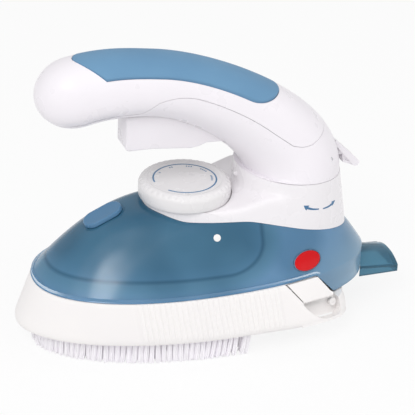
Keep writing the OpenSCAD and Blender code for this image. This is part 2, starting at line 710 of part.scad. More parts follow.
module pilot_lens() color("red") at_lamp() {
  translate([0, 0, -3.6]) lamp_oval(4.2, 0);
  translate([0, 0, 0.6]) lamp_oval(0.5, -0.8);
}
module pilot_lamp() color("gold") at_lamp() {
  translate([0, 0, -11.6]) cylinder(h = 8, r = 2.4, $fn = 32);
  translate([0, 0, -16]) for (x = [-1, 1]) translate([x, 0, 0]) cylinder(h = 4.6, r = 0.3, $fn = 16);
}

// Filler cap, which bends up on a film hinge at its front edge, and its seal
module fill_cap() color("steelblue", 0.7) at_cap() {
  translate([0, 0, cap_under]) linear_extrude(cap_t) stadium(cap_len, cap_w);
  translate([0, 0, cap_under - plug_h]) linear_extrude(plug_h + 0.2) stadium(plug_len, plug_w);
}
module cap_seal() color("dimgray") at_cap() translate([0, 0, cap_under - 2]) linear_extrude(1) difference() {
  stadium(plug_len + 0.7, plug_w + 0.7);
  stadium(plug_len, plug_w);
}

// Upper housing: dial platform, ridge and hub pedestal
dial_gap = 0.5;
dial_top = hub_z - 1.4;
platform_z = dial_top - dial_h - run_gap;
ridge_x = dial_x + dial_r + dial_gap;
ridge_z = 74.8;
roof_x = 19;
roof_z = hub_z - 5.5;
roof_t = 2.4;
// The pedestal's round front is set out, so that its sides and rear run on from the housing's wall
pedestal_shift = 1.5;
module house_solid(inset) {
  loft([for (z = [40, 96])
    [for (i = [0:tank_n - 1]) let(p = house_pt(360 * i / tank_n, z, inset)) [p[0], p[1], z]]]);
}
// Outline of the housing from the side, standing on the tank's own edge; drop lowers its roof
house_edge = [for (i = [0:tank_n / 2]) let(p = tank_top(360 * i / tank_n, 0)) [p[0], p[2]]];
module house_side(drop, foot) {
  last = house_edge[tank_n / 2];
  polygon(concat([[-60, house_edge[0][1] + foot]], [for (p = house_edge) p + [0, foot]],
    [[90, last[1] + foot], [90, roof_z - drop], [roof_x + drop, roof_z - drop],
      [ridge_x + drop, ridge_z - drop], [ridge_x + drop, platform_z - drop], [-60, platform_z - drop]]));
}
module pedestal(drop) {
  at_hub() translate([pedestal_shift, 0, -12])
    cylinder(h = 12 - drop, r = hub_r + pedestal_shift - drop, $fn = 96);
}
module upper_housing() color("whitesmoke") difference() {
  intersection() {
    house_solid(0);
    union() {
      across(160) house_side(0, seam_gap);
      pedestal(0);
    }
  }
  intersection() {
    house_solid(house_wall);
    union() {
      across(160) house_side(roof_t, -20);
      pedestal(roof_t);
    }
  }
  translate([dial_x, 0, platform_z]) cylinder(h = 40, r = dial_r + dial_gap, $fn = 96);
  translate([dial_x, 0, platform_z - 10]) cylinder(h = 20, r = spindle_r + pin_gap, $fn = 48);
  at_hub() translate([0, 0, -10]) cylinder(h = 20, r = pivot_r + 0.2, $fn = 64);
}

// Hollow pivot that the handle turns on; its flange sits under the housing's roof
pivot_flange = 20;
pivot_flange_t = 2.3;
pivot_foot = -roof_t - 0.1 - pivot_flange_t;
pivot_bore = 5.6;
web_t = 3.2;
ring_z = run_gap + web_t + 0.2;
ring_t = 2;
ring_w = 4.5;
pivot_top = ring_z + ring_t + 0.3;
pump_r = 7;
module pivot_tube() color("silver") at_hub() difference() {
  union() {
    translate([0, 0, pivot_foot]) cylinder(h = pivot_flange_t, r = pivot_flange, $fn = 64);
    translate([0, 0, pivot_foot]) cylinder(h = pivot_top - pivot_foot, r = pivot_r, $fn = 64);
  }
  translate([0, 0, pivot_foot - over]) cylinder(h = 40, r = pivot_bore, $fn = 48);
}
module retaining_ring() color("gray") at_hub() translate([0, 0, ring_z]) difference() {
  cylinder(h = ring_t, r = pivot_r + ring_w, $fn = 64);
  translate([0, 0, -over]) cylinder(h = ring_t + 2 * over, r = pivot_r, $fn = 64);
}

// Steam pump on the swivel axis, worked by the trigger
pump_bore = 5;
pump_z0 = -30;
pump_z1 = pivot_foot - seam_gap;
pump_floor = 2;
rod_top = 14;
rod_r = 2.4;
rod_head_r = 3.6;
rod_head_t = 1.5;
plunger_z = -14;
plunger_h = 6;
groove_z = plunger_z + 2;
groove_h = 1.6;
groove_r = pump_bore - 1.2;
module pump_cylinder() color("white") at_hub() difference() {
  union() {
    translate([0, 0, pump_z0]) cylinder(h = pump_z1 - pump_z0, r = pump_r, $fn = 48);
    translate([0, 0, pump_z1 - 2]) cylinder(h = 2, r = pump_r + 5, $fn = 48);
  }
  translate([0, 0, pump_z0 + pump_floor]) cylinder(h = 60, r = pump_bore + pin_gap, $fn = 48);
  translate([0, 0, pump_z0 - over]) cylinder(h = 10, r = 1.5, $fn = 24);
}
module groove_ring(outer) {
  translate([0, 0, groove_z]) difference() {
    cylinder(h = groove_h, r = outer, $fn = 48);
    translate([0, 0, -over]) cylinder(h = groove_h + 2 * over, r = groove_r, $fn = 48);
  }
}
module pump_plunger() color("gainsboro") at_hub() difference() {
  union() {
    translate([0, 0, plunger_z]) cylinder(h = plunger_h, r = pump_bore, $fn = 48);
    translate([0, 0, plunger_z]) cylinder(h = rod_top - plunger_z, r = rod_r, $fn = 32);
    translate([0, 0, rod_top - rod_head_t]) cylinder(h = rod_head_t, r = rod_head_r, $fn = 32);
  }
  groove_ring(pump_bore + over);
}
module plunger_seal() color("dimgray") at_hub() groove_ring(pump_bore);
spring_z = pump_z0 + pump_floor + 0.1;
module plunger_spring() color("silver") at_hub() translate([0, 0, spring_z]) difference() {
  cylinder(h = plunger_z - spring_z - 0.2, r = pump_bore - 0.8, $fn = 32);
  translate([0, 0, -over]) cylinder(h = 40, r = pump_bore - 1.6, $fn = 32);
}
// Tube from the reservoir to the pump's foot, and the nozzle into the steam chamber
module suction_tube() color("lightgray") {
  tube_r = 1.5;
  foot = [hub_x + hub_axis[0] * pump_z0, hub_z + hub_axis[1] * pump_z0];
  low_z = floor_z + floor_t + tube_r + 3;
  translate([foot[0], 0, low_z]) cylinder(h = foot[1] - low_z - 0.6, r = tube_r, $fn = 24);
  translate([bulkhead_x + 4, 0, low_z]) rotate([0, 90, 0])
    cylinder(h = foot[0] - bulkhead_x - 4, r = tube_r, $fn = 24);
  translate([foot[0], 0, low_z]) sphere(r = tube_r, $fn = 24);
}
module steam_nozzle() color("goldenrod") translate([nozzle_x, 0, cover_z]) difference() {
  union() {
    cylinder(h = floor_z + floor_t + 4 - cover_z, r = nozzle_r, $fn = 32);
    translate([0, 0, cover_t + seam_gap])
      cylinder(h = floor_z - cover_z - cover_t - 2 * seam_gap, r = nozzle_r + 1.4, $fn = 32);
  }
  translate([0, 0, -over]) cylinder(h = 40, r = 0.9, $fn = 24);
}

// Temperature dial and its spindle
dial_z = platform_z + run_gap;
dial_round = 3.4;
dial_rim = 2.4;
dial_hub_r = 8;
socket_h = dial_h - 3;
dimple_step = 9;
module temperature_dial() color("gainsboro") translate([dial_x, 0, dial_z]) difference() {
  rotate_extrude($fn = 120) difference() {
    union() {
      square([dial_r - dial_round, dial_h]);
      square([dial_r, dial_h - dial_round]);
      translate([dial_r - dial_round, dial_h - dial_round]) circle(r = dial_round, $fn = 48);
    }
    // Hollow underside and the spindle's socket
    translate([dial_hub_r, -over]) square([dial_r - dial_hub_r - dial_rim, dial_h - dial_rim + over]);
    translate([0, -over]) square([spindle_r, socket_h + over]);
    // Shallow dish in the top
    translate([0, dial_h - 0.5]) square([dial_r - dial_round - 1.6, 1]);
  }
  for (a = [0:dimple_step:360 - dimple_step])
    rotate(a) translate([dial_r + 0.5, 0, dial_h - dial_round - 0.6]) rotate([0, -40, 0])
      cylinder(h = 8, r = 1, $fn = 16);
}
module dial_spindle() color("silver") translate([dial_x, 0, stat_top + run_gap])
  cylinder(h = dial_z + socket_h - stat_top - run_gap, r = spindle_r, $fn = 48);

// Handle centre line in the XZ plane: a grip curve from the round end, then a bend down to the hub
grip_z = hub_z + grip_rise;
grip_start = [hub_x - grip_reach, grip_z - 0.7];
grip_mid = [hub_x - 75, grip_z];
hub_end = [hub_x, hub_z] + hub_axis * run_gap;
column_pull = 20;
grip_curve = [grip_start, grip_start + [15, 2.9], grip_mid + [-14, 1.6], grip_mid];
bend_curve = [grip_mid, grip_mid + [30, -3.4], [hub_x, hub_z] + hub_axis * column_pull, hub_end];
function bezier(c, t) = let(r = 1 - t)
  c[0] * r * r * r + c[1] * 3 * t * r * r + c[2] * 3 * t * t * r + c[3] * t * t * t;
function bezier_dir(c, t) = let(r = 1 - t)
  (c[1] - c[0]) * r * r + (c[2] - c[1]) * 2 * t * r + (c[3] - c[2]) * t * t;
// Point, direction and outward normal at s: 0 to 1 is the grip, 1 to 2 the bend
function handle_at(s) = s < 1 ? bezier(grip_curve, s) : bezier(bend_curve, s - 1);
function handle_dir(s) =
  let(d = s < 1 ? bezier_dir(grip_curve, s) : bezier_dir(bend_curve, s - 1)) d / norm(d);
function handle_out(s) = let(d = handle_dir(s)) [-d[1], d[0]];
bulb_w = grip_w - 1;
bend_power = 1.8;
function handle_h(s) = s < 1 ? mix(bulb_h, grip_h, s) / 2 : mix(grip_h / 2, hub_r, pow(s - 1, bend_power));
function handle_w(s) = s < 1 ? mix(bulb_w, grip_w, s) / 2 : mix(grip_w / 2, hub_r, pow(s - 1, bend_power));
// Point at angle a round the section at s, from its outer side towards the left
function handle_pt(s, a, inset, share = 1, back = 0) = let(
    c = handle_at(s) - handle_dir(s) * back, out = handle_out(s), p = 2 / mix(2.3, 2, max(0, s - 1)),
    u = (handle_h(s) - inset) * share * spow(cos(a), p))
  [c[0] + out[0] * u, -(handle_w(s) - inset) * share * spow(sin(a), p), c[1] + out[1] * u];
handle_n = 32;
function handle_ring(s, inset, share = 1, back = 0) =
  [for (i = [0:handle_n - 1]) handle_pt(s, 360 * i / handle_n, inset, share, back)];
module handle_solid(inset) {
  loft(concat(
    [for (a = [14:19:71]) handle_ring(0, inset, sin(a), (bulb_len - inset) * cos(a))],
    [for (s = [0:0.2:0.8]) handle_ring(s, inset)],
    [for (i = [0:12]) handle_ring(1 + i / 12, inset)]));
}
shell_t = soft_t + handle_wall;
// Inside of the handle, down to a flat web over the hub
module handle_hollow() {
  difference() {
    handle_solid(shell_t);
    at_hub() translate([0, 0, -20]) cylinder(h = 20 + run_gap + web_t, r = hub_r + over, $fn = 64);
  }
}
// Point beside the centre line, a share k of the half height outwards
function beside(s, k) = handle_at(s) + handle_out(s) * handle_h(s) * k;

// Region of the upper shell, seen from the side: above the seam, with a round tongue over the column
seam_low = -0.7;
seam_high = 0.06;
function smooth(v) = let(t = min(1, max(0, v))) t * t * (3 - 2 * t);
function seam_share(s) = mix(seam_low, seam_high, smooth((s - 0.75) / 0.45));
tongue = [[-6.5, 20.2], [-1.5, 19], [4, 19.2], [10, 21.2], [40, 34], [40, 90]];
module upper_region() {
  polygon(concat([beside(0, seam_low) - handle_dir(0) * 40], [for (s = [0:0.1:1.6]) beside(s, seam_share(s))],
    [for (p = tongue) [hub_x, hub_z] + p], [[-150, hub_z + 90]]));
}

// Soft grip: a skin over the handle's back, pointed at the front and round at the rear
soft_s0 = 0.04;
soft_s1 = 1.56;
soft_spread = 60;
soft_tip = 2;
soft_steps = 24;
soft_n = 10;
function soft_angle(s) = let(front = min(1, (s - soft_s0) / 0.26), rear = min(1, (soft_s1 - s) / 0.14))
  soft_tip + soft_spread * min(pow(max(0, front), 0.75), sqrt(1 - pow(1 - max(0, rear), 2)));
// One closed ring of the skin: the outer arc, then the inner arc back
function soft_ring(s, outer, inner, grow) = let(a = soft_angle(s) + grow)
  concat([for (i = [0:soft_n]) handle_pt(s, a * (2 * i / soft_n - 1), outer)],
    [for (i = [soft_n:-1:0]) handle_pt(s, a * (2 * i / soft_n - 1), inner)]);
module soft_skin(outer, inner, grow) {
  loft([for (i = [0:soft_steps])
    let(s = mix(soft_s0 - grow / 200, soft_s1 + grow / 200, (1 - cos(180 * i / soft_steps)) / 2))
    soft_ring(s, outer, inner, grow)]);
}
module soft_grip() color("steelblue") soft_skin(0, soft_t, 0);

// Screws that hold the two shells together, as x and y
handle_screw_places = [[-68, 7.5], [-68, -7.5]];
screw_seat_z = grip_z - 13.6;
boss_foot_z = grip_z - 9;
module handle_upper_shell() color("whitesmoke") difference() {
  union() {
    difference() {
      intersection() {
        handle_solid(0);
        across(100) upper_region();
      }
      handle_solid(shell_t);
    }
    // Screw bosses under the front of the grip
    intersection() {
      handle_solid(shell_t - 0.4);
      for (p = handle_screw_places) translate([p[0], p[1], boss_foot_z]) cylinder(h = 40, r = 3, $fn = 32);
    }
  }
  soft_skin(-1.5, soft_t + seam_gap, 0.6);
  trigger_slot();
  for (p = handle_screw_places) translate([p[0], p[1], screw_seat_z]) mirror([0, 0, 1]) screw_hole(15);
}

// Trigger pivot and the lever's pivot, as x and z
trigger_pivot = [hub_x - 24, hub_z + 24.5];
lever_pivot = [hub_x + 15.5, hub_z + 8.6];
trigger_front = hub_x - 89;
trigger_z = hub_z + trigger_drop;
lever_w = 11;
lever_arm_w = 8;
slot_gap = 0.4;
module cross_bar(place, length, r) {
  translate([place[0], 0, place[1]]) rotate([90, 0, 0]) cylinder(h = length, r = r, center = true, $fn = 48);
}
// Room in both shells for the trigger at rest and pulled
module trigger_slot() {
  across(trigger_w + 2 * slot_gap) polygon([[trigger_front - 0.8, grip_z - 4],
    [trigger_front - 0.8, trigger_z - 6], [trigger_front + 49, trigger_z - 6],
    [trigger_front + 51, trigger_z - 1.6],
    [trigger_pivot[0] - 1, trigger_z - 1.6], [trigger_pivot[0] - 1, grip_z - 8]]);
}
module handle_lower_shell() color("whitesmoke") difference() {
  handle_solid(0);
  handle_hollow();
  across(100) upper_region();
  trigger_slot();
  // Slot for the lock lever
  translate([hub_x + 17, -lever_w / 2 - slot_gap, hub_z + 1.9]) cube([24, lever_w + 2 * slot_gap, 10.9]);
  cross_bar(trigger_pivot, 33, pin_r);
  cross_bar(lever_pivot, 40, pin_r);
  at_hub() translate([0, 0, -over]) cylinder(h = 8, r = pivot_r + pin_gap, $fn = 64);
  for (p = handle_screw_places)
    translate([p[0], p[1], screw_seat_z]) mirror([0, 0, 1]) screw_hole(12);
}
module handle_screws() color("silver") for (p = handle_screw_places)
  translate([p[0], p[1], screw_seat_z]) mirror([0, 0, 1]) screw(12);

rod_gap = 0.7;
module steam_trigger() color("white") difference() {
  union() {
    across(trigger_w) polygon([[trigger_front, trigger_z + 19], [trigger_front, trigger_z + 1],
      [trigger_front + 1.2, trigger_z], [trigger_front + 14, trigger_z - 0.1],
      [trigger_front + 34, trigger_z - 2.2], [trigger_front + 38, trigger_z - 1.6],
      [trigger_front + 42, trigger_z - 0.2], [trigger_front + 52, trigger_z - 0.4],
      trigger_pivot + [-2.4, -3.4], trigger_pivot + [-2.4, 3.2],
      [trigger_pivot[0] - 12, trigger_z + 14], [trigger_pivot[0] - 34, trigger_z + 18]]);
    cross_bar(trigger_pivot, trigger_w, 4);
    // Rear arm that presses the pump's rod
    across(6) polygon([trigger_pivot + [0, 2.6], trigger_pivot + [0, -3],
      [hub_x - 6, hub_z + rod_top + 2], [hub_x - 1, hub_z + rod_top + rod_gap],
      [hub_x + 4, hub_z + rod_top + rod_gap], [hub_x + 4, hub_z + rod_top + 4.4]]);
  }
  cross_bar(trigger_pivot, trigger_w + 2 * over, pin_r + pin_gap);
}
module trigger_pin() color("silver") cross_bar(trigger_pivot, 32.6, pin_r);

// Lock lever: an inner pad over the retaining ring, and a finned tail behind the column
tail = [hub_x + 36.9, hub_z - 2.5];
tail_r = 1.9;
flange_x = hub_x + 29.6;
pad_x = hub_x + pivot_r + 0.6;
module lock_lever() color("whitesmoke") difference() {
  union() {
    cross_bar(lever_pivot, lever_arm_w, 3.2);
    across(lever_arm_w) polygon([[pad_x, hub_z + ring_z + ring_t - 0.7], lever_pivot + [0, -3],
      lever_pivot + [0, 3], [pad_x, hub_z + 9]]);
    across(lever_arm_w) polygon([lever_pivot + [0, -2], [hub_x + 25.5, hub_z + 6],
      [hub_x + 25.5, hub_z + 10], lever_pivot + [0, 2]]);
    // Sloping thumb plate with a round tip
    across(lever_w) polygon([[hub_x + 24.6, hub_z + 11.6], [hub_x + 23.4, hub_z + 9.8],
      [hub_x + 25.6, hub_z + 7.6], tail + [-1.5, -1.1], tail + [1.2, 1.5]]);
    cross_bar(tail, lever_w, tail_r);
    // Lower flange and web
    across(lever_w - 1) polygon([[flange_x, hub_z + 0.2], [flange_x, hub_z - 1.4], tail + [-1.6, -1.4],
      tail + [-1.6, 0.2]]);
    across(lever_w - 2) polygon([[flange_x, hub_z + 4.4], [flange_x, hub_z - 1], tail + [-1, 0]]);
  }
  cross_bar(lever_pivot, lever_arm_w + 2 * over, pin_r + pin_gap);
}
module lever_pin() color("silver") cross_bar(lever_pivot, 39.6, pin_r);
module lock_spring() color("silver") translate([lever_pivot[0], 0, lever_pivot[1]]) rotate([90, 0, 0])
  translate([0, 0, lever_arm_w / 2 + 0.4]) difference() {
    cylinder(h = 5, r = pin_r + 1.1, $fn = 32);
    translate([0, 0, -over]) cylinder(h = 5 + 2 * over, r = pin_r + 0.2, $fn = 32);
  }

brush_shroud();
bristle_plate();
bristles();
brush_screws();
latch_left();
latch_right();
latch_pins();
soleplate();
heating_element();
chamber_gasket();
steam_chamber_cover();
chamber_screws();
thermostat();
thermal_fuse();
base_frame();
base_screws();
terminal_block();
cord_gland();
tank_shell();
tank_floor();
tank_seal();
rear_hood();
pilot_lens();
pilot_lamp();
fill_cap();
cap_seal();
upper_housing();
pivot_tube();
retaining_ring();
pump_cylinder();
pump_plunger();
plunger_seal();
plunger_spring();
suction_tube();
steam_nozzle();
temperature_dial();
dial_spindle();
handle_lower_shell();
handle_upper_shell();
soft_grip();
handle_screws();
steam_trigger();
trigger_pin();
lock_lever();
lever_pin();
lock_spring();
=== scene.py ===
"""A travel steam iron with a swivelling handle, a clear blue tank and a clip-on brush, in a studio."""

import math
import random

import bmesh
import bpy
from mathutils import Matrix, Vector


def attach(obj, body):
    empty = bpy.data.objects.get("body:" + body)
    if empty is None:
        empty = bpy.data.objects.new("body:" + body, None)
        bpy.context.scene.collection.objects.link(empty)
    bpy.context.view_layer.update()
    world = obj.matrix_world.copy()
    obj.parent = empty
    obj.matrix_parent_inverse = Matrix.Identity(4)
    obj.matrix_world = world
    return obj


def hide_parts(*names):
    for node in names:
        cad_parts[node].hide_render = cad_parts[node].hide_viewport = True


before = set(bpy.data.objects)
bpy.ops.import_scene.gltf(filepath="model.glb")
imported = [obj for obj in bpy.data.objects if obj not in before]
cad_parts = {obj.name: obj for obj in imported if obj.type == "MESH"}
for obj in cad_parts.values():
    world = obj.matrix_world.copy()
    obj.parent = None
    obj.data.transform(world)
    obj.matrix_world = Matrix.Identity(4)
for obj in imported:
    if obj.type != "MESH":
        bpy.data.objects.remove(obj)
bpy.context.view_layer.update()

# Lengths below are in millimetres in the frame's axes: nose towards -X, left side towards -Y, Z up
MM = 0.001
WELD = 1e-4
ACROSS = Matrix.Rotation(math.radians(90), 4, "X")


# Curves and outlines
def mix(a, b, t):
    return a + (b - a) * t


def smooth_step(t):
    t = min(1.0, max(0.0, t))
    return t * t * (3 - 2 * t)


def signed_power(value, power):
    return math.copysign(abs(value) ** power, value)


def boat(turn, centre, nose, stern, half_width, nose_power, stern_power):
    """Point on a boat-shaped outline, with turn 0 at the nose and a quarter turn at the left side."""
    forward = math.cos(turn)
    reach, power = (nose, nose_power) if forward >= 0 else (stern, stern_power)
    x = centre - reach * signed_power(forward, 2 / power)
    return x, -half_width * signed_power(math.sin(turn), 2 / power)


def boat_half_width(x, centre, nose, stern, half_width, nose_power, stern_power):
    reach, power = (nose, nose_power) if x < centre else (stern, stern_power)
    share = min(1.0, abs(x - centre) / reach)
    return half_width * (1 - share**power) ** (1 / power)


def drawn_in(outline, inset):
    """The sizes of a boat-shaped outline that lies inset within another."""
    centre, nose, stern, half_width, *powers = outline
    return centre, nose - inset, stern - inset, half_width - inset, *powers


def turns(count):
    return [2 * math.pi * i / count for i in range(count)]


def circle(radius, count):
    return [(radius * math.cos(a), radius * math.sin(a)) for a in turns(count)]


def stadium(length, width, count=24):
    """Slot outline with round ends along X."""
    radius = width / 2
    reach = length / 2 - radius
    right = [math.pi * (i / count - 0.5) for i in range(count + 1)]
    ends = [(reach + radius * math.cos(a), radius * math.sin(a)) for a in right]
    return ends + [(-x, -y) for x, y in ends]


def arc(centre, radius, start, end, count):
    """Points of an arc, with its angles in degrees."""
    angles = [math.radians(mix(start, end, i / count)) for i in range(count + 1)]
    return [(centre[0] + radius * math.cos(a), centre[1] + radius * math.sin(a)) for a in angles]


# Meshes
def new_object(name, mesh):
    bmesh.ops.remove_doubles(mesh, verts=mesh.verts, dist=WELD)
    bmesh.ops.recalc_face_normals(mesh, faces=mesh.faces)
    bmesh.ops.scale(mesh, vec=(MM, MM, MM), verts=mesh.verts)
    data = bpy.data.meshes.new(name)
    mesh.to_mesh(data)
    mesh.free()
    piece = bpy.data.objects.new(name, data)
    bpy.context.collection.objects.link(piece)
    return piece


def add_rings(mesh, rings, closed=True, cap_low=True, cap_high=True, joined=False):
    """Quads through a row of rings. Joined also closes the last ring onto the first."""
    rows = [[mesh.verts.new(point) for point in ring] for ring in rings]
    count = len(rows[0])
    pairs = list(zip(rows, rows[1:]))
    if joined:
        pairs.append((rows[-1], rows[0]))
    for low, high in pairs:
        for i in range(count if closed else count - 1):
            j = (i + 1) % count
            mesh.faces.new((low[i], low[j], high[j], high[i]))
    if cap_low and not joined:
        mesh.faces.new(rows[0])
    if cap_high and not joined:
        mesh.faces.new(rows[-1])


def loft(name, rings, **options):
    mesh = bmesh.new()
    add_rings(mesh, rings, **options)
    return new_object(name, mesh)


def placed(outline, z, place):
    return [place @ Vector((x, y, z)) for x, y in outline]


def extrusion(name, outline, low, high, place=Matrix()):
    return loft(name, [placed(outline, z, place) for z in (low, high)])


def across(name, outline, width):
    """An XZ outline drawn out to both sides of the mid plane."""
    return extrusion(name, outline, -width / 2, width / 2, ACROSS)


def bar_across(name, centre, radius, width, count):
    return across(name, [(centre[0] + x, centre[1] + z) for x, z in circle(radius, count)], width)


def lathe(name, profile, count, place=Matrix(), **options):
    """A profile of (radius, height) turned about the local Z axis."""
    rings = [placed(circle(max(r, 0.0), count), z, place) for r, z in profile]
    return loft(name, rings, **options)


def settle(piece):
    """Replaces the mesh by what its modifiers make of it."""
    graph = bpy.context.evaluated_depsgraph_get()
    data = bpy.data.meshes.new_from_object(piece.evaluated_get(graph))
    piece.modifiers.clear()
    piece.data = data
    return piece


def combine(piece, other, operation="DIFFERENCE"):
    modifier = piece.modifiers.new("combine", "BOOLEAN")
    modifier.operation = operation
    modifier.solver = "EXACT"
    modifier.object = other
    settle(piece)
    bpy.data.objects.remove(other)
    return piece


def reopened(piece):
    """A piece's mesh in millimetres, to be added to. The piece itself goes."""
    mesh = bmesh.new()
    mesh.from_mesh(piece.data)
    bmesh.ops.scale(mesh, vec=(1 / MM,) * 3, verts=mesh.verts)
    bpy.data.objects.remove(piece)
    return mesh


def bevel(piece, width, segments=3, angle=40):
    modifier = piece.modifiers.new("bevel", "BEVEL")
    modifier.width = width * MM
    modifier.segments = segments
    modifier.limit_method = "ANGLE"
    modifier.angle_limit = math.radians(angle)
    return settle(piece)


def melt(piece, voxel, rounds, keep):
    """Rounds every edge: a fine voxel mesh, smoothed, then thinned out."""
    modifier = piece.modifiers.new("remesh", "REMESH")
    modifier.mode = "VOXEL"
    modifier.voxel_size = voxel * MM
    modifier = piece.modifiers.new("smooth", "SMOOTH")
    modifier.iterations = rounds
    modifier.factor = 0.5
    if keep < 1:
        modifier = piece.modifiers.new("thin", "DECIMATE")
        modifier.ratio = keep
    return settle(piece)


def finish(piece, look, sharp):
    piece.data.materials.clear()
    piece.data.materials.append(look.material)
    piece.data.shade_smooth()
    piece.data.set_sharp_from_angle(angle=math.radians(sharp))


def dress(piece, body, nodes, look, sharp=35):
    finish(piece, look, sharp)
    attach(piece, body)
    if nodes:
        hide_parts(*nodes)
    return piece


# Materials
def linear(red, green, blue):
    """An sRGB colour in 0 to 255 as linear light."""
    values = [v / 255 for v in (red, green, blue)]
    light = [v / 12.92 if v <= 0.04045 else ((v + 0.055) / 1.055) ** 2.4 for v in values]
    return (*light, 1.0)


class Look:
    """A node material built round one Principled shader."""

    def __init__(self, name):
        self.material = bpy.data.materials.new(name)
        self.material.use_nodes = True
        self.nodes = self.material.node_tree.nodes
        self.shader = self.nodes["Principled BSDF"]
        self.place = self.node("ShaderNodeTexCoord").outputs["Object"]

    def feed(self, socket, value):
        """Links a socket to an output, or sets it to a constant."""
        if isinstance(value, bpy.types.NodeSocket):
            self.material.node_tree.links.new(value, socket)
        else:
            socket.default_value = value

    def node(self, kind, inputs=(), **settings):
        made = self.nodes.new(kind)
        for key, value in settings.items():
            setattr(made, key, value)
        for key, value in dict(inputs).items():
            self.feed(made.inputs[key], value)
        return made

    def set(self, **values):
        for key, value in values.items():
            self.feed(self.shader.inputs[key.replace("_", " ")], value)
        return self

    def noise(self, scale, detail=3.0, stretch=(1, 1, 1)):
        place = self.place
        if stretch != (1, 1, 1):
            place = self.node("ShaderNodeMapping", {"Vector": place, "Scale": stretch}).outputs["Vector"]
        inputs = {"Vector": place, "Scale": scale, "Detail": detail}
        return self.node("ShaderNodeTexNoise", inputs).outputs["Fac"]

    def ramp(self, factor, stops):
        node = self.node("ShaderNodeValToRGB", {"Fac": factor})
        elements = node.color_ramp.elements
        while len(elements) < len(stops):
            elements.new(0.5)
        for element, (position, colour) in zip(elements, stops):
            element.position = position
            element.color = colour
        return node.outputs["Color"]

    def spread(self, value, first, last, low=0.0, high=1.0, kind="LINEAR"):
        """Maps first to low and last to high."""
        inputs = {"Value": value, "From Min": first, "From Max": last, "To Min": low, "To Max": high}
        return self.node("ShaderNodeMapRange", inputs, interpolation_type=kind).outputs["Result"]

    def blend(self, factor, first, second, kind="MIX"):
        inputs = {"Factor": factor, "A": first, "B": second}
        return self.node("ShaderNodeMix", inputs, data_type="RGBA", blend_type=kind).outputs["Result"]

    def surface(self, colour, gloss, low, high, height, strength, depth):
        """Colour, roughness from low to high over a noise, and bump from a height."""
        bump = self.node("ShaderNodeBump", {"Height": height, "Strength": strength, "Distance": depth * MM})
        roughness = self.spread(gloss, 0.3, 0.7, low, high)
        return self.set(Base_Color=colour, Roughness=roughness, Normal=bump.outputs["Normal"])


def moulded(name, light, dark, low, high, grain=1400.0, strength=0.03, depth=0.006):
    """Moulded plastic: a faint mottle between two near colours, and a fine surface grain."""
    look = Look(name)
    colour = look.ramp(look.noise(24.0), [(0.3, linear(*dark)), (0.7, linear(*light))])
    return look.surface(colour, look.noise(90.0), low, high, look.noise(grain, 2.0), strength, depth)


def metal(name, light, dark, low, high, stretch=(1, 1, 1)):
    look = Look(name)
    streaks = look.noise(420.0, 4.0, stretch)
    colour = look.ramp(streaks, [(0.3, linear(*dark)), (0.7, linear(*light))])
    look.surface(colour, look.noise(300.0, 4.0, stretch), low, high, streaks, 0.15, 0.04)
    return look.set(Metallic=1.0)


white_plastic = moulded("white_plastic", (240, 237, 240), (237, 234, 237), 0.24, 0.32)
shell_plastic = moulded("shell_plastic", (239, 235, 240), (236, 232, 237), 0.26, 0.34)
brush_plastic = moulded("brush_plastic", (243, 240, 239), (240, 237, 237), 0.36, 0.46)
dial_plastic = moulded("dial_plastic", (230, 228, 229), (227, 225, 226), 0.22, 0.3)
soft_rubber = moulded("soft_rubber", (106, 149, 183), (98, 141, 176), 0.5, 0.62, 2600.0, 0.2, 0.04)
print_ink = moulded("print_ink", (72, 122, 162), (64, 112, 152), 0.4, 0.5)
white_ink = moulded("white_ink", (244, 242, 240), (236, 234, 232), 0.4, 0.5)
seal_rubber = moulded("seal_rubber", (52, 52, 54), (38, 38, 40), 0.6, 0.75)
dark_plastic = moulded("dark_plastic", (78, 80, 84), (62, 64, 68), 0.4, 0.55)
ceramic = moulded("ceramic", (226, 214, 190), (212, 198, 172), 0.45, 0.6)
steel = metal("steel", (206, 208, 210), (176, 178, 182), 0.22, 0.36, (1, 8, 1))
aluminium = metal("cast_aluminium", (214, 214, 214), (190, 190, 192), 0.34, 0.5)
brass = metal("brass", (214, 182, 108), (186, 152, 84), 0.26, 0.4)


# Tones of the tank, outward from the reservoir that shows through it and has a dark edge. The paler tones
# outside that edge are a painted reflection of the white brush and floor
RESERVOIR_CORNER = (-3.0, 58.0)
RESERVOIR_ROUND = (20.0, -14.0)
TANK_TONES_AND_REFLECTION = [(0.0, (76, 130, 162)), (0.3, (84, 138, 172)), (0.45, (92, 146, 182)), (0.49, (66, 118, 152)),
              (0.54, (100, 152, 184)), (0.65, (108, 160, 194)), (0.8, (120, 168, 208))]
# Where the tank is painted paler low down at the rear, as painted light showing through it
LOW_REAR_X = (25.0, 80.0)
LOW_REAR_Z = (56.0, 34.0)


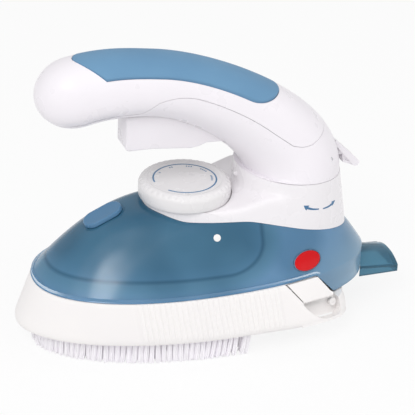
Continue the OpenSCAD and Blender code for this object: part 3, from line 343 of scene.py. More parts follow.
def tank_plastic(name):
    """Clear blue plastic with a painted reflection in its paler tones, and painted paler low down at the
    rear: painted light for the bright surround that shows through where there is nothing behind it.
    """
    look = Look(name)
    axes = look.node("ShaderNodeSeparateXYZ", {0: look.place}).outputs

    def share(axis, start, end, kind):
        return look.spread(axes[axis], start * MM, end * MM, kind=kind)

    corner = look.node("ShaderNodeCombineXYZ")
    for axis, middle, reach in zip("XZ", RESERVOIR_CORNER, RESERVOIR_ROUND):
        look.feed(corner.inputs[axis], share(axis, middle, middle + 2 * reach, "LINEAR"))
    away = look.node("ShaderNodeVectorMath", {0: corner.outputs[0]}, operation="LENGTH").outputs["Value"]
    # The reservoir seen through, and outside its dark edge a painted reflection of the white brush and floor
    tones = look.ramp(away, [(place, linear(*tone)) for place, tone in TANK_TONES_AND_REFLECTION])
    cloud = look.ramp(look.noise(30.0, 1.0), [(0.38, (0.6, 0.72, 0.76, 1)), (0.6, (1, 1, 1, 1))])
    clouded = look.blend(0.8, tones, cloud, "MULTIPLY")
    rear, low = share("X", *LOW_REAR_X, "SMOOTHSTEP"), share("Z", *LOW_REAR_Z, "SMOOTHSTEP")
    painted_backlight = look.node("ShaderNodeMath", {0: rear, 1: low}, operation="MULTIPLY").outputs[0]
    # Painted light: the low rear blends to a pale blue, as if the bright surround shone through the plastic
    colour = look.blend(painted_backlight, clouded, linear(150, 186, 212))
    look.surface(colour, look.noise(90.0), 0.17, 0.23, look.noise(60.0, 2.0), 0.03, 0.03)
    return look.set(IOR=1.45, Transmission_Weight=0.4)


clear_blue = tank_plastic("clear_blue_tank")
clear_hood = moulded("clear_blue_hood", (94, 146, 170), (78, 130, 158), 0.14, 0.2)
clear_hood.set(IOR=1.35, Transmission_Weight=0.65)
cap_blue = moulded("blue_cap", (92, 140, 180), (84, 132, 170), 0.18, 0.28)
cap_blue.set(IOR=1.45, Transmission_Weight=0.2)
red_lens = moulded("red_lens", (226, 14, 24), (206, 6, 16), 0.1, 0.18)
red_lens.set(Transmission_Weight=0.1, Specular_IOR_Level=0.25)
clear_ring = moulded("clear_ring", (140, 172, 204), (122, 156, 190), 0.1, 0.18)
clear_ring.set(IOR=1.45, Transmission_Weight=0.55)
nylon = moulded("nylon", (253, 250, 254), (249, 245, 252), 0.3, 0.45)
nylon.set(Subsurface_Weight=0.4, Subsurface_Radius=(1, 1, 1), Subsurface_Scale=0.001)
# The nylon glows faintly white: painted light that lifts the shade between the strands
nylon.set(Emission_Color=(1, 0.97, 1, 1), Emission_Strength=0.05)
lamp_glass = moulded("lamp_glass", (236, 200, 150), (220, 176, 120), 0.1, 0.2)
lamp_glass.set(Transmission_Weight=0.4)


# Brush shroud: a leaning wall with a rounded foot and fine grip ribs
FOOT_Z = 12.0
RIM_Z = 35.5
WALL_TOP_Z = 35.2
SHROUD_WALL = 2.4
SHROUD_LOW = (1.5, 105.3, 67.0, 47.7, 2.0, 5.0)
SHROUD_HIGH = (-8.5, 85.6, 72.0, 42.6, 2.2, 3.0)
RIB_START = -51.4
RIB_LEAN = 0.147
RIB_COUNT = 27
RIB_PITCH = 2.74
RIB_HEIGHT = 0.4
RIB_SAMPLES = 12
RIB_GROOVE = 0.13
FOOT_ROUND = 4.4
FOOT_TUCK = 1.9
REAR_Z = 21.0


def shroud_outline(z, inset):
    share = (z - FOOT_Z) / (RIM_Z - FOOT_Z)
    return drawn_in([mix(a, b, share) for a, b in zip(SHROUD_LOW, SHROUD_HIGH)], inset)


def shroud_half_width(x, z, inset):
    return boat_half_width(x, *shroud_outline(z, inset))


def rib_start(z):
    """The ribs lean: each runs further back towards the foot."""
    return RIB_START + RIB_LEAN * (WALL_TOP_Z - z)


def rib_height(x, z):
    """Flat bands with a narrow groove between them."""
    place = (x - rib_start(z)) / RIB_PITCH
    if not 0 < place < RIB_COUNT:
        return 0.0
    aside = abs(place - round(place))
    return RIB_HEIGHT * (1 - math.exp(-((aside / RIB_GROOVE) ** 2)))


def shroud_stations(tip, tail, z):
    rib_first = rib_start(z)
    rib_end = rib_first + RIB_COUNT * RIB_PITCH
    nose_steps = 48
    tail_steps = 36
    rib_steps = RIB_COUNT * RIB_SAMPLES
    stations = [mix(tip, rib_first, 1 - math.cos(math.pi / 2 * i / nose_steps)) for i in range(nose_steps)]
    stations += [mix(rib_first, rib_end, i / rib_steps) for i in range(rib_steps)]
    stations += [mix(rib_end, tail, math.sin(math.pi / 2 * i / tail_steps)) for i in range(tail_steps + 1)]
    return stations


def shroud_ring(z, inset, ribs):
    centre, nose, stern = shroud_outline(z, inset)[:3]
    left = []
    for x in shroud_stations(centre - nose, centre + stern, z):
        left.append((x, -shroud_half_width(x, z, inset) - ribs * rib_height(x, z), z))
    return left + [(x, -y, z) for x, y, z in left[-2:0:-1]]


def shroud_solid(name, inset, low, high):
    return loft(name, [shroud_ring(z, inset, 0) for z in (low, high)])


LATCH_LENGTH = 18.5
LATCH_HEIGHT = 10.7
LATCH_THICK = 2.6
LATCH_GAP = 0.35
LATCH_SWING = 0.45
LATCH_SKEW = 0.75
LATCH_X = 41.2
LATCH_TILT = math.radians(18.95)
LATCH_TURN = math.radians(12)
LATCH_Z = WALL_TOP_Z - LATCH_HEIGHT / 2 * math.cos(LATCH_TILT)
SCOOP_DEPTH = 6.5
SCOOP_HEIGHT = 11.8
SCOOP_RUN = 14.0
SCOOP_ROUND = 4.0
SCOOP_GAP = 4.6
LATCH_SHIFT = LATCH_SKEW * LATCH_HEIGHT / 2
SCOOP_X0 = -LATCH_LENGTH / 2 + LATCH_SHIFT
SCOOP_X1 = LATCH_LENGTH / 2 + LATCH_SHIFT + SCOOP_GAP
SCOOP_Z0 = -LATCH_HEIGHT / 2 - SCOOP_HEIGHT
DROP_X = LATCH_X + 4.3
DROP_RUN = 9.0
PEG_RADIUS = 2.2
PEG_TOP = -4.1
PEG_PLACE = Vector((SCOOP_X1 - PEG_RADIUS - 0.6, SCOOP_Z0 + 6.4, 0))
SIDES = (1, -1)


def latch_frame(side):
    """Local X along the rim, Y up the wall and Z out of it. Side 1 is the left."""
    corner = Vector((LATCH_X, -shroud_half_width(LATCH_X, LATCH_Z, 0), LATCH_Z))
    turned = Matrix.Rotation(LATCH_TURN, 4, "Z") @ Matrix.Rotation(-LATCH_TILT, 4, "X")
    frame_left = Matrix.Translation(corner) @ turned @ ACROSS
    return Matrix.Diagonal((1, side, 1, 1)) @ frame_left


def latch_outline(grow, swing=0.0):
    rise = LATCH_HEIGHT / 2 + grow
    side = LATCH_LENGTH / 2 + grow + swing
    shift = LATCH_SKEW * rise
    return [(-side - shift, rise), (side - shift, rise), (side + shift, -rise), (-side + shift, -rise)]


def pocket_outline():
    """The flap's room and the finger scoop below it."""
    room = latch_outline(LATCH_GAP, LATCH_SWING)
    corner = arc((SCOOP_X1 - SCOOP_ROUND, SCOOP_Z0 + SCOOP_ROUND), SCOOP_ROUND, 0, -90, 10)
    first, high = SCOOP_X0 - LATCH_GAP, room[3][1] - LATCH_THICK / 2
    shares = [1 - i / 12 for i in range(13)]
    low_edge = [(first + SCOOP_RUN * t, mix(SCOOP_Z0, high, (1 - t) ** 2)) for t in shares]
    return room[:3] + [(SCOOP_X1, room[2][1])] + corner + low_edge + [room[3]]


def add_pocket_block(shroud, side):
    """The solid behind the wall that a pocket is cut into."""
    low, high = SCOOP_X0 - 2, SCOOP_X1 + 6
    bottom, top = SCOOP_Z0 - 1.5, SCOOP_Z0 + 15.3
    outline = [(low, bottom), (high, bottom), (high, top), (low, top)]
    block = extrusion("block", outline, -SCOOP_DEPTH - 2.5, 1, latch_frame(side))
    combine(block, shroud_solid("inside", 0.4, FOOT_Z + 0.2, REAR_Z - 0.2), "INTERSECT")
    combine(shroud, block, "UNION")


def add_peg(mesh, side):
    place = latch_frame(side) @ Matrix.Translation(PEG_PLACE)
    profile = [(PEG_RADIUS, -SCOOP_DEPTH - 1), (PEG_RADIUS, PEG_TOP - 0.5)]
    profile += [(PEG_RADIUS - 0.15, PEG_TOP - 0.15), (PEG_RADIUS - 0.5, PEG_TOP)]
    profile += [(0.9, PEG_TOP), (0.7, PEG_TOP - 0.3), (0, PEG_TOP - 0.3)]
    add_rings(mesh, [placed(circle(r, 40), z, place) for r, z in profile], cap_high=False)


def make_shroud():
    rows = []
    for i in range(9):
        angle = math.pi / 2 * i / 8
        rows.append((FOOT_Z + FOOT_ROUND * (1 - math.cos(angle)), FOOT_TUCK * (1 - math.sin(angle))))
    rows += [(mix(FOOT_Z + FOOT_ROUND, WALL_TOP_Z - 0.6, i / 8), 0.0) for i in range(1, 9)]
    rows += [(WALL_TOP_Z - 0.2, 0.15), (WALL_TOP_Z, 0.6)]
    rings = [shroud_ring(z, inset, smooth_step((z - FOOT_Z) / FOOT_ROUND)) for z, inset in rows]
    rings += [shroud_ring(z, SHROUD_WALL, 0) for z in (WALL_TOP_Z, FOOT_Z)]
    shroud = loft("brush_cover", rings, joined=True)
    for side in SIDES:
        add_pocket_block(shroud, side)
    above, behind = RIM_Z + 4, 110
    edge = [(DROP_X, above), (DROP_X, RIM_Z - 3), (DROP_X + DROP_RUN, REAR_Z)]
    edge += [(behind, REAR_Z), (behind, above)]
    combine(shroud, across("drop", edge, 200))
    pockets = bmesh.new()
    for side in SIDES:
        add_rings(pockets, [placed(pocket_outline(), z, latch_frame(side)) for z in (-SCOOP_DEPTH, 10)])
    combine(shroud, new_object("pockets", pockets))
    mesh = reopened(shroud)
    for side in SIDES:
        add_peg(mesh, side)
    dress(new_object("brush_cover", mesh), "brush", ["brush_shroud"], brush_plastic, 30)


def make_latch(name, node, side):
    place = latch_frame(side)
    flap = extrusion(name, latch_outline(0), -LATCH_THICK, 0, place)
    lip_place = place @ Matrix.Translation((LATCH_SHIFT, -LATCH_HEIGHT / 2, -LATCH_THICK / 2))
    lip_place = lip_place @ Matrix.Rotation(math.radians(90), 4, "Y")
    half = LATCH_LENGTH / 2
    lip = extrusion("lip", circle(LATCH_THICK / 2, 32), -half, half, lip_place)
    combine(flap, lip, "UNION")
    bevel(flap, 0.45, 3, 30)
    dress(flap, name.replace("flap", "latch"), [node], brush_plastic)


# Bristles: tufts of strands in rows, and a close row of tufts round the edge
BRISTLE_INSET = 5.0
BRISTLE_NOSE = 6.0
BRISTLE_PITCH = 4.1
BRISTLE_REAR = 8.0
EDGE_PITCH = 2.9
EDGE_STRANDS = 15
ROW_STRANDS = 8
STRAND_SIDES = 6
REAR_LEAN = -1.8
TUFT_RADIUS = 1.35
STRAND_RADIUS = 0.42
PLATE_Z = 13.0
BACKING = 1.0


def strand_rings(foot, tip, lean):
    """A slim strand with a rounded tip, which bends towards its tip."""
    rings = []
    for share, radius in ((0, 1), (0.35, 1), (0.7, 0.98), (0.93, 0.9), (1.0, 0.35)):
        bend = share * share
        x, y = (mix(foot[k], tip[k], bend) + lean[k] * bend for k in (0, 1))
        centre = Vector((x, y, mix(foot[2], tip[2], share)))
        around = circle(STRAND_RADIUS * radius, STRAND_SIDES)
        rings.append([centre + Vector((*point, 0)) for point in around])
    return rings


def bristle_outline(inset):
    centre, nose, *rest = shroud_outline(FOOT_Z, inset)
    return centre, nose - BRISTLE_NOSE, *rest


def edge_places(inset):
    """Even places round the front of the brush, up to the last row of tufts."""
    outline = bristle_outline(inset)
    points = [boat(math.radians(140) * i / 1500, *outline) for i in range(-1500, 1501)]
    points = [point for point in points if point[0] < BRISTLE_REAR + 1]
    places, gone = [], 0.0
    for before, after in zip(points, points[1:]):
        gone += math.dist(before, after)
        if gone >= EDGE_PITCH:
            places.append(after)
            gone -= EDGE_PITCH
    return places


def row_places():
    outline = bristle_outline(BRISTLE_INSET + EDGE_PITCH)
    front = outline[0] - outline[1] + 1
    places = []
    for row in range(int((BRISTLE_REAR - front) / BRISTLE_PITCH) + 1):
        x = front + row * BRISTLE_PITCH
        half = boat_half_width(x, *outline)
        count = max(1, int(2 * half / BRISTLE_PITCH))
        places += [(x, half * (2 * i / count - 1)) for i in range(count + 1)]
    return places


def add_tuft(mesh, draw, x, y, strands):
    """Strands packed in a spiral, which spread a little and lean forward at the rear of the brush."""
    back_share = smooth_step((x + 40) / 50)
    lean = (REAR_LEAN * back_share + draw.uniform(-0.6, 0.6), draw.uniform(-0.3, 0.3))
    spin = draw.uniform(0, 2 * math.pi)
    for k in range(strands):
        turn = spin + 2.4 * k
        spread = TUFT_RADIUS * math.sqrt((k + 0.3) / strands)
        aside, forth = spread * math.cos(turn), spread * math.sin(turn)
        foot = (x + 0.75 * aside, y + 0.75 * forth, PLATE_Z - 0.5)
        tip = (x * 1.004 + aside, y * 1.008 + forth, draw.uniform(0.0, 0.45))
        add_rings(mesh, strand_rings(foot, tip, lean), cap_low=False)


def make_bristles():
    draw = random.Random(7)
    mesh = bmesh.new()
    for x, y in edge_places(BRISTLE_INSET):
        add_tuft(mesh, draw, x, y, EDGE_STRANDS)
    for x, y in row_places():
        add_tuft(mesh, draw, x, y, ROW_STRANDS)
    outline = [(x, y) for x, y, z in shroud_ring(FOOT_Z, BRISTLE_INSET - 2, 0) if x < BRISTLE_REAR + 2]
    left = [p for p in outline if p[1] <= 0]
    edge = left + [(x, -y) for x, y in left[::-1] if y < -1e-6]
    levels = ((PLATE_Z - BACKING, 0.985), (PLATE_Z - BACKING + 0.25, 1.0), (PLATE_Z, 1.0))
    add_rings(mesh, [[(x * s, y * s, z) for x, y in edge] for z, s in levels])
    piece = new_object("bristle_tufts", mesh)
    dress(piece, "brush", ["bristles"], nylon, 60)


# Tank: a boat-shaped rim that arches up to the housing's foot
TANK_RIM = (-8.5, 85.6, 93.0, 42.6, 2.2, 2.2)
TANK_WALL = 2.2
CROWN_Z = 67.6
CROWN_FALL = 0.285
CROWN_BEND = 11.0
CROWN_RISE = 3.5
CROWN_RISE_X = -19.0
NOSE_ARCH = 2.0
SIDE_ARCH = 1.15
STERN_ARCH = 1.1
SKIRT_Z = 21.5
NOTCH_X = LATCH_X + 4.5
NOTCH_RUN = 12.7
NOTCH_SLOPE = (RIM_Z - SKIRT_Z) / NOTCH_RUN
HOUSE_FOOT_Z = 48.0
HOUSE_FRONT = -36.5
HUB = Vector((40.6, 0, 83.5))
HUB_RADIUS = 27.5
HUB_LEAN = math.radians(5.4)
HUB_AXIS = Vector((math.sin(HUB_LEAN), 0, math.cos(HUB_LEAN)))
HUB_PLACE = Matrix.Translation(HUB) @ Matrix.Rotation(HUB_LEAN, 4, "Y")


def house_point(turn, z, inset):
    share = (z - HOUSE_FOOT_Z) / (HUB.z - HOUSE_FOOT_Z)
    centre = mix(31.5, HUB.x, share)
    stern, half_width = mix(43.0, HUB_RADIUS, share), mix(30.0, HUB_RADIUS, share)
    return boat(turn, centre, centre - HOUSE_FRONT - inset, stern - inset, half_width - inset, 2.4, 2)


def crown_height(x):
    """Height of the tank's upper edge: it rises in front and falls behind a soft bend."""
    past = x - CROWN_BEND
    fall = CROWN_FALL * (past + math.sqrt(past * past + 16)) / 2
    return CROWN_Z - fall + CROWN_RISE * smooth_step((CROWN_RISE_X - x) / (CROWN_RISE_X - HOUSE_FRONT))


def arch_power(turn):
    forward = math.cos(turn)
    return mix(SIDE_ARCH, NOSE_ARCH if forward > 0 else STERN_ARCH, forward**4)


def tank_rim(turn, inset):
    return boat(turn, *drawn_in(TANK_RIM, inset))


def tank_point(turn, share):
    """Point on the tank at a share of the way from its rim to the housing."""
    low = tank_rim(turn, 0)
    top = house_point(turn, crown_height(house_point(turn, 60, 0)[0]), 0)
    z = mix(RIM_Z, crown_height(top[0]), 1 - (1 - share) ** arch_power(turn))
    return Vector((mix(low[0], top[0], share), mix(low[1], top[1], share), z))


def tank_foot(x):
    """Height of the tank's lower edge, which drops behind the notch."""
    return max(SKIRT_Z, RIM_Z - NOTCH_SLOPE * max(0.0, x - NOTCH_X))


CAP_X = -57.5
CAP_LENGTH = 21.0
CAP_WIDTH = 12.0
CAP_GAP = 0.4
CAP_SEAT = -0.8


def cap_frame():
    run = HOUSE_FRONT - TANK_RIM[0] + TANK_RIM[1]
    share = (CAP_X - TANK_RIM[0] + TANK_RIM[1]) / run
    rise = crown_height(HOUSE_FRONT) - RIM_Z
    z = RIM_Z + rise * (1 - (1 - share) ** NOSE_ARCH)
    slope = math.atan(rise / run * NOSE_ARCH * (1 - share) ** (NOSE_ARCH - 1))
    return Matrix.Translation((CAP_X, 0, z)) @ Matrix.Rotation(-slope, 4, "Y")


LAMP_X = 40.7
LAMP_Z = 43.8
LAMP_LENGTH = 17.0
LAMP_HEIGHT = 11.2
LAMP_INSET = 3.4
LAMP_TURN = math.radians(14)
LAMP_TILT = math.radians(90 - 18)


def lamp_oval(grow, count=96):
    return [(x * (LAMP_LENGTH / 2 + grow), y * (LAMP_HEIGHT / 2 + grow)) for x, y in circle(1.0, count)]


def lamp_frame():
    y = -boat_half_width(LAMP_X, *TANK_RIM) + LAMP_INSET
    turned = Matrix.Rotation(LAMP_TURN, 4, "Z") @ Matrix.Rotation(LAMP_TILT, 4, "X")
    return Matrix.Translation((LAMP_X, y, LAMP_Z)) @ turned


def make_tank():
    columns = turns(360)
    rows = []
    for drop in (1.0, 0.97, 0.6, 0.3):
        ring = []
        for turn in columns:
            x, y = tank_rim(turn, 0.4 if drop == 1.0 else 0.0)
            foot = tank_foot(x)
            lift = 0.0 if foot < RIM_Z - 0.01 else -0.02 * drop
            ring.append(Vector((x, y, mix(RIM_Z, foot, drop) + lift)))
        rows.append(ring)
    shares = [0.0, 0.002, 0.004, 0.02] + [mix(0.038, 1, i / 56) for i in range(57)]
    rows += [[tank_point(turn, share) for turn in columns] for share in shares]
    tank = loft("water_tank", rows, cap_low=False)
    modifier = tank.modifiers.new("wall", "SOLIDIFY")
    modifier.thickness = TANK_WALL * MM
    modifier.offset = -1
    settle(tank)
    cap_place = cap_frame()
    seat = extrusion("seat", stadium(CAP_LENGTH + 2, CAP_WIDTH + 2), CAP_SEAT - 4, CAP_SEAT, cap_place)
    combine(tank, seat, "UNION")
    room = stadium(CAP_LENGTH + 2 * CAP_GAP, CAP_WIDTH + 2 * CAP_GAP)
    combine(tank, extrusion("cap_room", room, CAP_SEAT, 20, cap_place))
    combine(tank, extrusion("filler", stadium(CAP_LENGTH - 5.6, CAP_WIDTH - 3), -12, 8, cap_place))
    combine(tank, extrusion("lamp_hole", lamp_oval(0.1), -20, 20, lamp_frame()))
    dress(tank, "iron_base", ["tank_shell"], clear_blue, 38)


def make_cap():
    place = cap_frame()
    profile = [(-0.5, -0.5), (-0.3, 0.0), (1.2, 0.0), (1.6, -0.12), (1.85, -0.45), (1.9, -0.9)]
    profile += [(1.75, -1.5), (1.7, -2.2)]
    rings = []
    for z, grow in profile:
        rings.append(placed(stadium(CAP_LENGTH + 2 * grow, CAP_WIDTH + 2 * grow, 32), z, place))
    mesh = bmesh.new()
    add_rings(mesh, rings)
    plug = [placed(stadium(CAP_LENGTH - 7, CAP_WIDTH - 4.4, 32), z, place) for z in (-3.5, -0.3)]
    add_rings(mesh, plug)
    dress(new_object("cap_flap", mesh), "cap", ["fill_cap"], cap_blue, 40)


def make_lamp():
    place = lamp_frame()
    dome = [(-0.5, -3.6), (-0.5, 0.3)]
    for i in range(1, 9):
        angle = math.pi / 2 * i / 8
        dome.append((-0.5 - 1.6 * (1 - math.cos(angle)), 0.3 + 0.5 * math.sin(angle)))
    dome += [(-3.6, 0.86), (-5.0, 0.9)]
    lens = loft("lamp_lens", [placed(lamp_oval(grow), z, place) for grow, z in dome])
    dress(lens, "iron_base", ["pilot_lens"], red_lens, 50)
    ring = [(-0.48, -1.0), (0.0, -1.0), (0.0, 0.45), (-0.08, 0.62), (-0.26, 0.68), (-0.42, 0.6)]
    ring.append((-0.48, 0.4))
    bezel = loft("lamp_ring", [placed(lamp_oval(grow), z, place) for grow, z in ring], joined=True)
    dress(bezel, "iron_base", [], clear_ring, 50)


# Housing under the dial and the handle
DIAL_X = -14.6
DIAL_RADIUS = 23.6
DIAL_Z = 73.4
DIAL_HEIGHT = 8.7
PLATFORM_Z = 73.1
RIDGE_Z = 74.8
RIDGE_X = DIAL_X + DIAL_RADIUS + 0.5
ROOF_X = 19.0
ROOF_Z = HUB.z - 5.5
NUB_PLACE = (12.6, -0.3, 81.0)
NUB_TILT = math.radians(-40)
MARK_PROUD = 0.06
MARK_DEPTH = 0.5


def house_solid(name, inset):
    rings = []
    for i in range(9):
        z = mix(40, 96, i / 8)
        rings.append([(*house_point(turn, z, inset), z) for turn in turns(288)])
    return loft(name, rings)


def house_cover(name, drop, foot, rise):
    """The housing from the side, its roof lowered by drop, with the hub's pedestal raised by rise."""
    side = [(-60, foot), (90, foot), (90, ROOF_Z - drop), (ROOF_X + drop, ROOF_Z - drop),
            (RIDGE_X + drop, RIDGE_Z - drop), (-2, PLATFORM_Z - drop), (-60, PLATFORM_Z - drop)]
    cover = across(name, side, 160)
    place = HUB_PLACE @ Matrix.Translation((1.5, 0, 0))
    pedestal = extrusion("pedestal", circle(HUB_RADIUS + 1.5 - drop, 192), -12, rise - drop, place)
    return combine(cover, pedestal, "UNION")


def make_housing():
    housing = house_solid("housing", 0)
    combine(housing, house_cover("cover", 0, 44, 9), "INTERSECT")
    melt(housing, 0.5, 110, 1)
    # The wall below the dial keeps a crisp upper edge
    wall = house_solid("wall", 0)
    edge = [(-60, 44), (24, 44), (24, PLATFORM_Z - 9), (-12, PLATFORM_Z), (-60, PLATFORM_Z)]
    combine(wall, across("edge", edge, 160), "INTERSECT")
    combine(housing, wall, "UNION")
    below = [(-60, 20), (95, 20)]
    below += [(x, crown_height(x) + 0.1) for x in range(95, -61, -1)]
    combine(housing, across("below", below, 160))
    combine(housing, extrusion("above", circle(70, 96), 0, 40, HUB_PLACE))
    inside = house_solid("inside", 2.6)
    combine(inside, house_cover("cover", 2.8, 30, 0), "INTERSECT")
    combine(housing, inside)
    at_dial = Matrix.Translation((DIAL_X, 0, 0))
    combine(housing, extrusion("well", circle(DIAL_RADIUS + 0.5, 192), PLATFORM_Z, 120, at_dial))
    dress(housing, "iron_base", ["upper_housing"], white_plastic, 50)
    nub = Matrix.Translation(NUB_PLACE) @ Matrix.Rotation(NUB_TILT, 4, "Y")
    profile = [(1.3, -2.0), (1.3, 0.2), (1.1, 0.6), (0.7, 0.85), (0.3, 0.95), (0.0, 0.97)]
    piece = lathe("index_nub", profile, 32, nub, cap_high=False)
    dress(piece, "iron_base", [], white_plastic, 50)


def band(mesh, points, surface):
    """A thin printed band along points of (u, v, half width across), laid on a surface(u, v, offset)."""
    rings = []
    for i, (u, v, half) in enumerate(points):
        before, after = points[max(0, i - 1)], points[min(len(points) - 1, i + 1)]
        centre = surface(u, v, 0.0)
        along = (surface(after[0], after[1], 0.0) - surface(before[0], before[1], 0.0)).normalized()
        out = (surface(u, v, 1.0) - centre).normalized()
        side = out.cross(along).normalized() * half
        top, bottom = centre + out * MARK_PROUD, centre - out * MARK_DEPTH
        rings.append([top + side, top - side, bottom - side, bottom + side])
    add_rings(mesh, rings)


def house_wall(turn, z, offset):
    return Vector((*house_point(math.radians(turn), z, -offset), z))


# Turn about the housing and height at the tail, middle and head of each swivel arrow
ARROWS = [[(110.4, 68.59), (100.2, 70.11), (93.0, 72.55)], [(115.3, 67.98), (124.8, 67.89), (133.2, 69.17)]]


def make_arrows():
    mesh = bmesh.new()
    for side in SIDES:
        for tail, middle, head in ARROWS:
            bend = [2 * middle[k] - (tail[k] + head[k]) / 2 for k in (0, 1)]
            points = []
            steps = [(0.0, 0.3), (0.15, 0.38), (0.3, 0.45), (0.45, 0.52), (0.58, 0.56), (0.66, 0.58)]
            steps += [(0.661, 1.5), (0.8, 0.95), (0.92, 0.4), (1.0, 0.04)]
            for t, half in steps:
                r = 1 - t
                turn, z = (r * r * a + 2 * t * r * b + t * t * c for a, b, c in zip(tail, bend, head))
                points.append((side * turn, z, half))
            band(mesh, points, house_wall)
    dress(new_object("swivel_arrows", mesh), "iron_base", [], print_ink, 30)


# Dial with a dimpled shoulder, a printed ring and marks
DIMPLES = 40
DIMPLE_SAMPLES = 12
DIMPLE_DEPTH = 0.28
DIMPLE_ANGLE = math.radians(52)
DIAL_ROUND = 3.4
RING_RADIUS = 16.0
MARK_ANGLES = (138.0, 102.0, 62.0, 27.0, -14.0)


def dial_profile():
    """Radius, height and depth of the dimples, from the middle of the face out and round the edge."""
    face = DIAL_RADIUS - 5.0
    top = DIAL_HEIGHT
    profile = [(0.0, top - 0.55, 0.0), (face * 0.5, top - 0.55, 0.0), (face - 0.4, top - 0.5, 0.0)]
    profile += [(face, top - 0.44, 0.0), (face + 0.3, top - 0.25, 0.0), (face + 0.7, top - 0.05, 0.0)]
    profile.append((face + 1.2, top, 0.0))
    for i in range(17):
        angle = math.pi / 2 * (1 - i / 16)
        depth = math.exp(-(((angle - DIMPLE_ANGLE) / 0.3) ** 2))
        profile.append((DIAL_RADIUS - DIAL_ROUND * (1 - math.cos(angle)),
                        top - DIAL_ROUND * (1 - math.sin(angle)), depth))
    profile += [(DIAL_RADIUS, 3.4, 0.0), (DIAL_RADIUS, 0.5, 0.0), (DIAL_RADIUS - 0.15, 0.15, 0.0)]
    profile += [(DIAL_RADIUS - 0.5, 0.0, 0.0), (DIAL_RADIUS - 2.4, 0.0, 0.0)]
    profile.append((DIAL_RADIUS - 2.4, top - 3, 0.0))
    return profile


def dial_face(angle, radius, offset):
    turn = math.radians(angle)
    z = DIAL_Z + DIAL_HEIGHT - 0.53 + offset
    return Vector((DIAL_X + radius * math.cos(turn), radius * math.sin(turn), z))


def make_dial():
    rings = []
    for radius, z, depth in dial_profile():
        ring = []
        for i, turn in enumerate(turns(DIMPLES * DIMPLE_SAMPLES)):
            offset = (i / DIMPLE_SAMPLES) % 1.0 - 0.5
            dent = DIMPLE_DEPTH * depth * math.exp(-((offset / 0.24) ** 2))
            reach = max(0.0, radius - dent)
            ring.append((DIAL_X + reach * math.cos(turn), reach * math.sin(turn), DIAL_Z + z - dent))
        rings.append(ring)
    dial = loft("dial_knob", rings, cap_low=False)
    dress(dial, "dial", ["temperature_dial"], dial_plastic, 45)
    mesh = bmesh.new()
    band(mesh, [(mix(-140, 180, i / 120), RING_RADIUS, 0.4) for i in range(121)], dial_face)
    for k, angle in enumerate(MARK_ANGLES):
        for i in range(k + 1):
            middle = angle + 5.0 * (i - k / 2)
            points = [(middle - 1.3 + 2.6 * j / 4, RING_RADIUS - 2.2, 0.5) for j in range(5)]
            band(mesh, points, dial_face)
    dress(new_object("dial_print", mesh), "dial", [], print_ink, 30)


# Handle: a grip that bends down into a round column
GRIP_Z = HUB.z + 52.9


def from_hub(points):
    return [(HUB.x + x, HUB.z + z) for x, z in points]


GRIP_CURVE = from_hub([(-113.2, 52.2), (-98.2, 55.1), (-89, 54.5), (-75, 52.9)])
BEND_CURVE = from_hub([(-75, 52.9), (-45, 49.5), (HUB_AXIS.x * 20, HUB_AXIS.z * 20),
                       (HUB_AXIS.x * 0.3, HUB_AXIS.z * 0.3)])
BULB_LENGTH = 20.0
BULB_HEIGHT = 34.0
GRIP_HEIGHT = 31.4
GRIP_WIDTH = 33.6
BULB_WIDTH = GRIP_WIDTH - 1
BEND_POWER = 1.8
GRIP_POWER = 2.3
SOFT_THICK = 1.6
SHELL_THICK = SOFT_THICK + 2.2


def bezier(points, t):
    r = 1 - t
    weights = (r * r * r, 3 * t * r * r, 3 * t * t * r, t * t * t)
    return [sum(w * p[k] for w, p in zip(weights, points)) for k in (0, 1)]


def bezier_slope(points, t):
    r = 1 - t
    weights = (r * r, 2 * t * r, t * t)
    steps = [(b[0] - a[0], b[1] - a[1]) for a, b in zip(points, points[1:])]
    return [sum(w * s[k] for w, s in zip(weights, steps)) for k in (0, 1)]


def handle_line(s):
    """Centre, direction and outward side at s: 0 to 1 is the grip, 1 to 2 the bend."""
    curve, t = (GRIP_CURVE, s) if s < 1 else (BEND_CURVE, s - 1)
    x, z = bezier(curve, t)
    dx, dz = bezier_slope(curve, t)
    length = math.hypot(dx, dz)
    along = Vector((dx / length, 0, dz / length))
    return Vector((x, 0, z)), along, Vector((-along.z, 0, along.x))


def handle_size(s):
    """Half height, half width and rounding power of the section at s."""
    if s < 1:
        return mix(BULB_HEIGHT, GRIP_HEIGHT, s) / 2, mix(BULB_WIDTH, GRIP_WIDTH, s) / 2, 2 / GRIP_POWER
    share = (s - 1) ** BEND_POWER
    half_height, half_width = (mix(size / 2, HUB_RADIUS, share) for size in (GRIP_HEIGHT, GRIP_WIDTH))
    return half_height, half_width, 2 / mix(GRIP_POWER, 2, s - 1)


def handle_point(s, angle, inset=0.0, share=1.0, back=0.0):
    centre, along, out = handle_line(s)
    half_height, half_width, power = handle_size(s)
    rise = (half_height - inset) * share * signed_power(math.cos(angle), power)
    side = -(half_width - inset) * share * signed_power(math.sin(angle), power)
    return centre - along * back + out * rise + Vector((0, side, 0))


def handle_solid(name, inset, end, columns, steps):
    rings = []
    front = steps // 8
    for i in range(front):
        angle = math.pi / 2 * i / front
        back = (BULB_LENGTH - inset) * math.cos(angle)
        rings.append([handle_point(0, a, inset, math.sin(angle), back) for a in turns(columns)])
    for i in range(steps + 1):
        rings.append([handle_point(end * i / steps, a, inset) for a in turns(columns)])
    return loft(name, rings, cap_low=False)


def beside(s, share):
    centre, along, out = handle_line(s)
    point = centre + out * handle_size(s)[0] * share
    return point.x, point.z


def seam_share(s):
    return mix(-0.7, 0.06, smooth_step((s - 0.75) / 0.45))


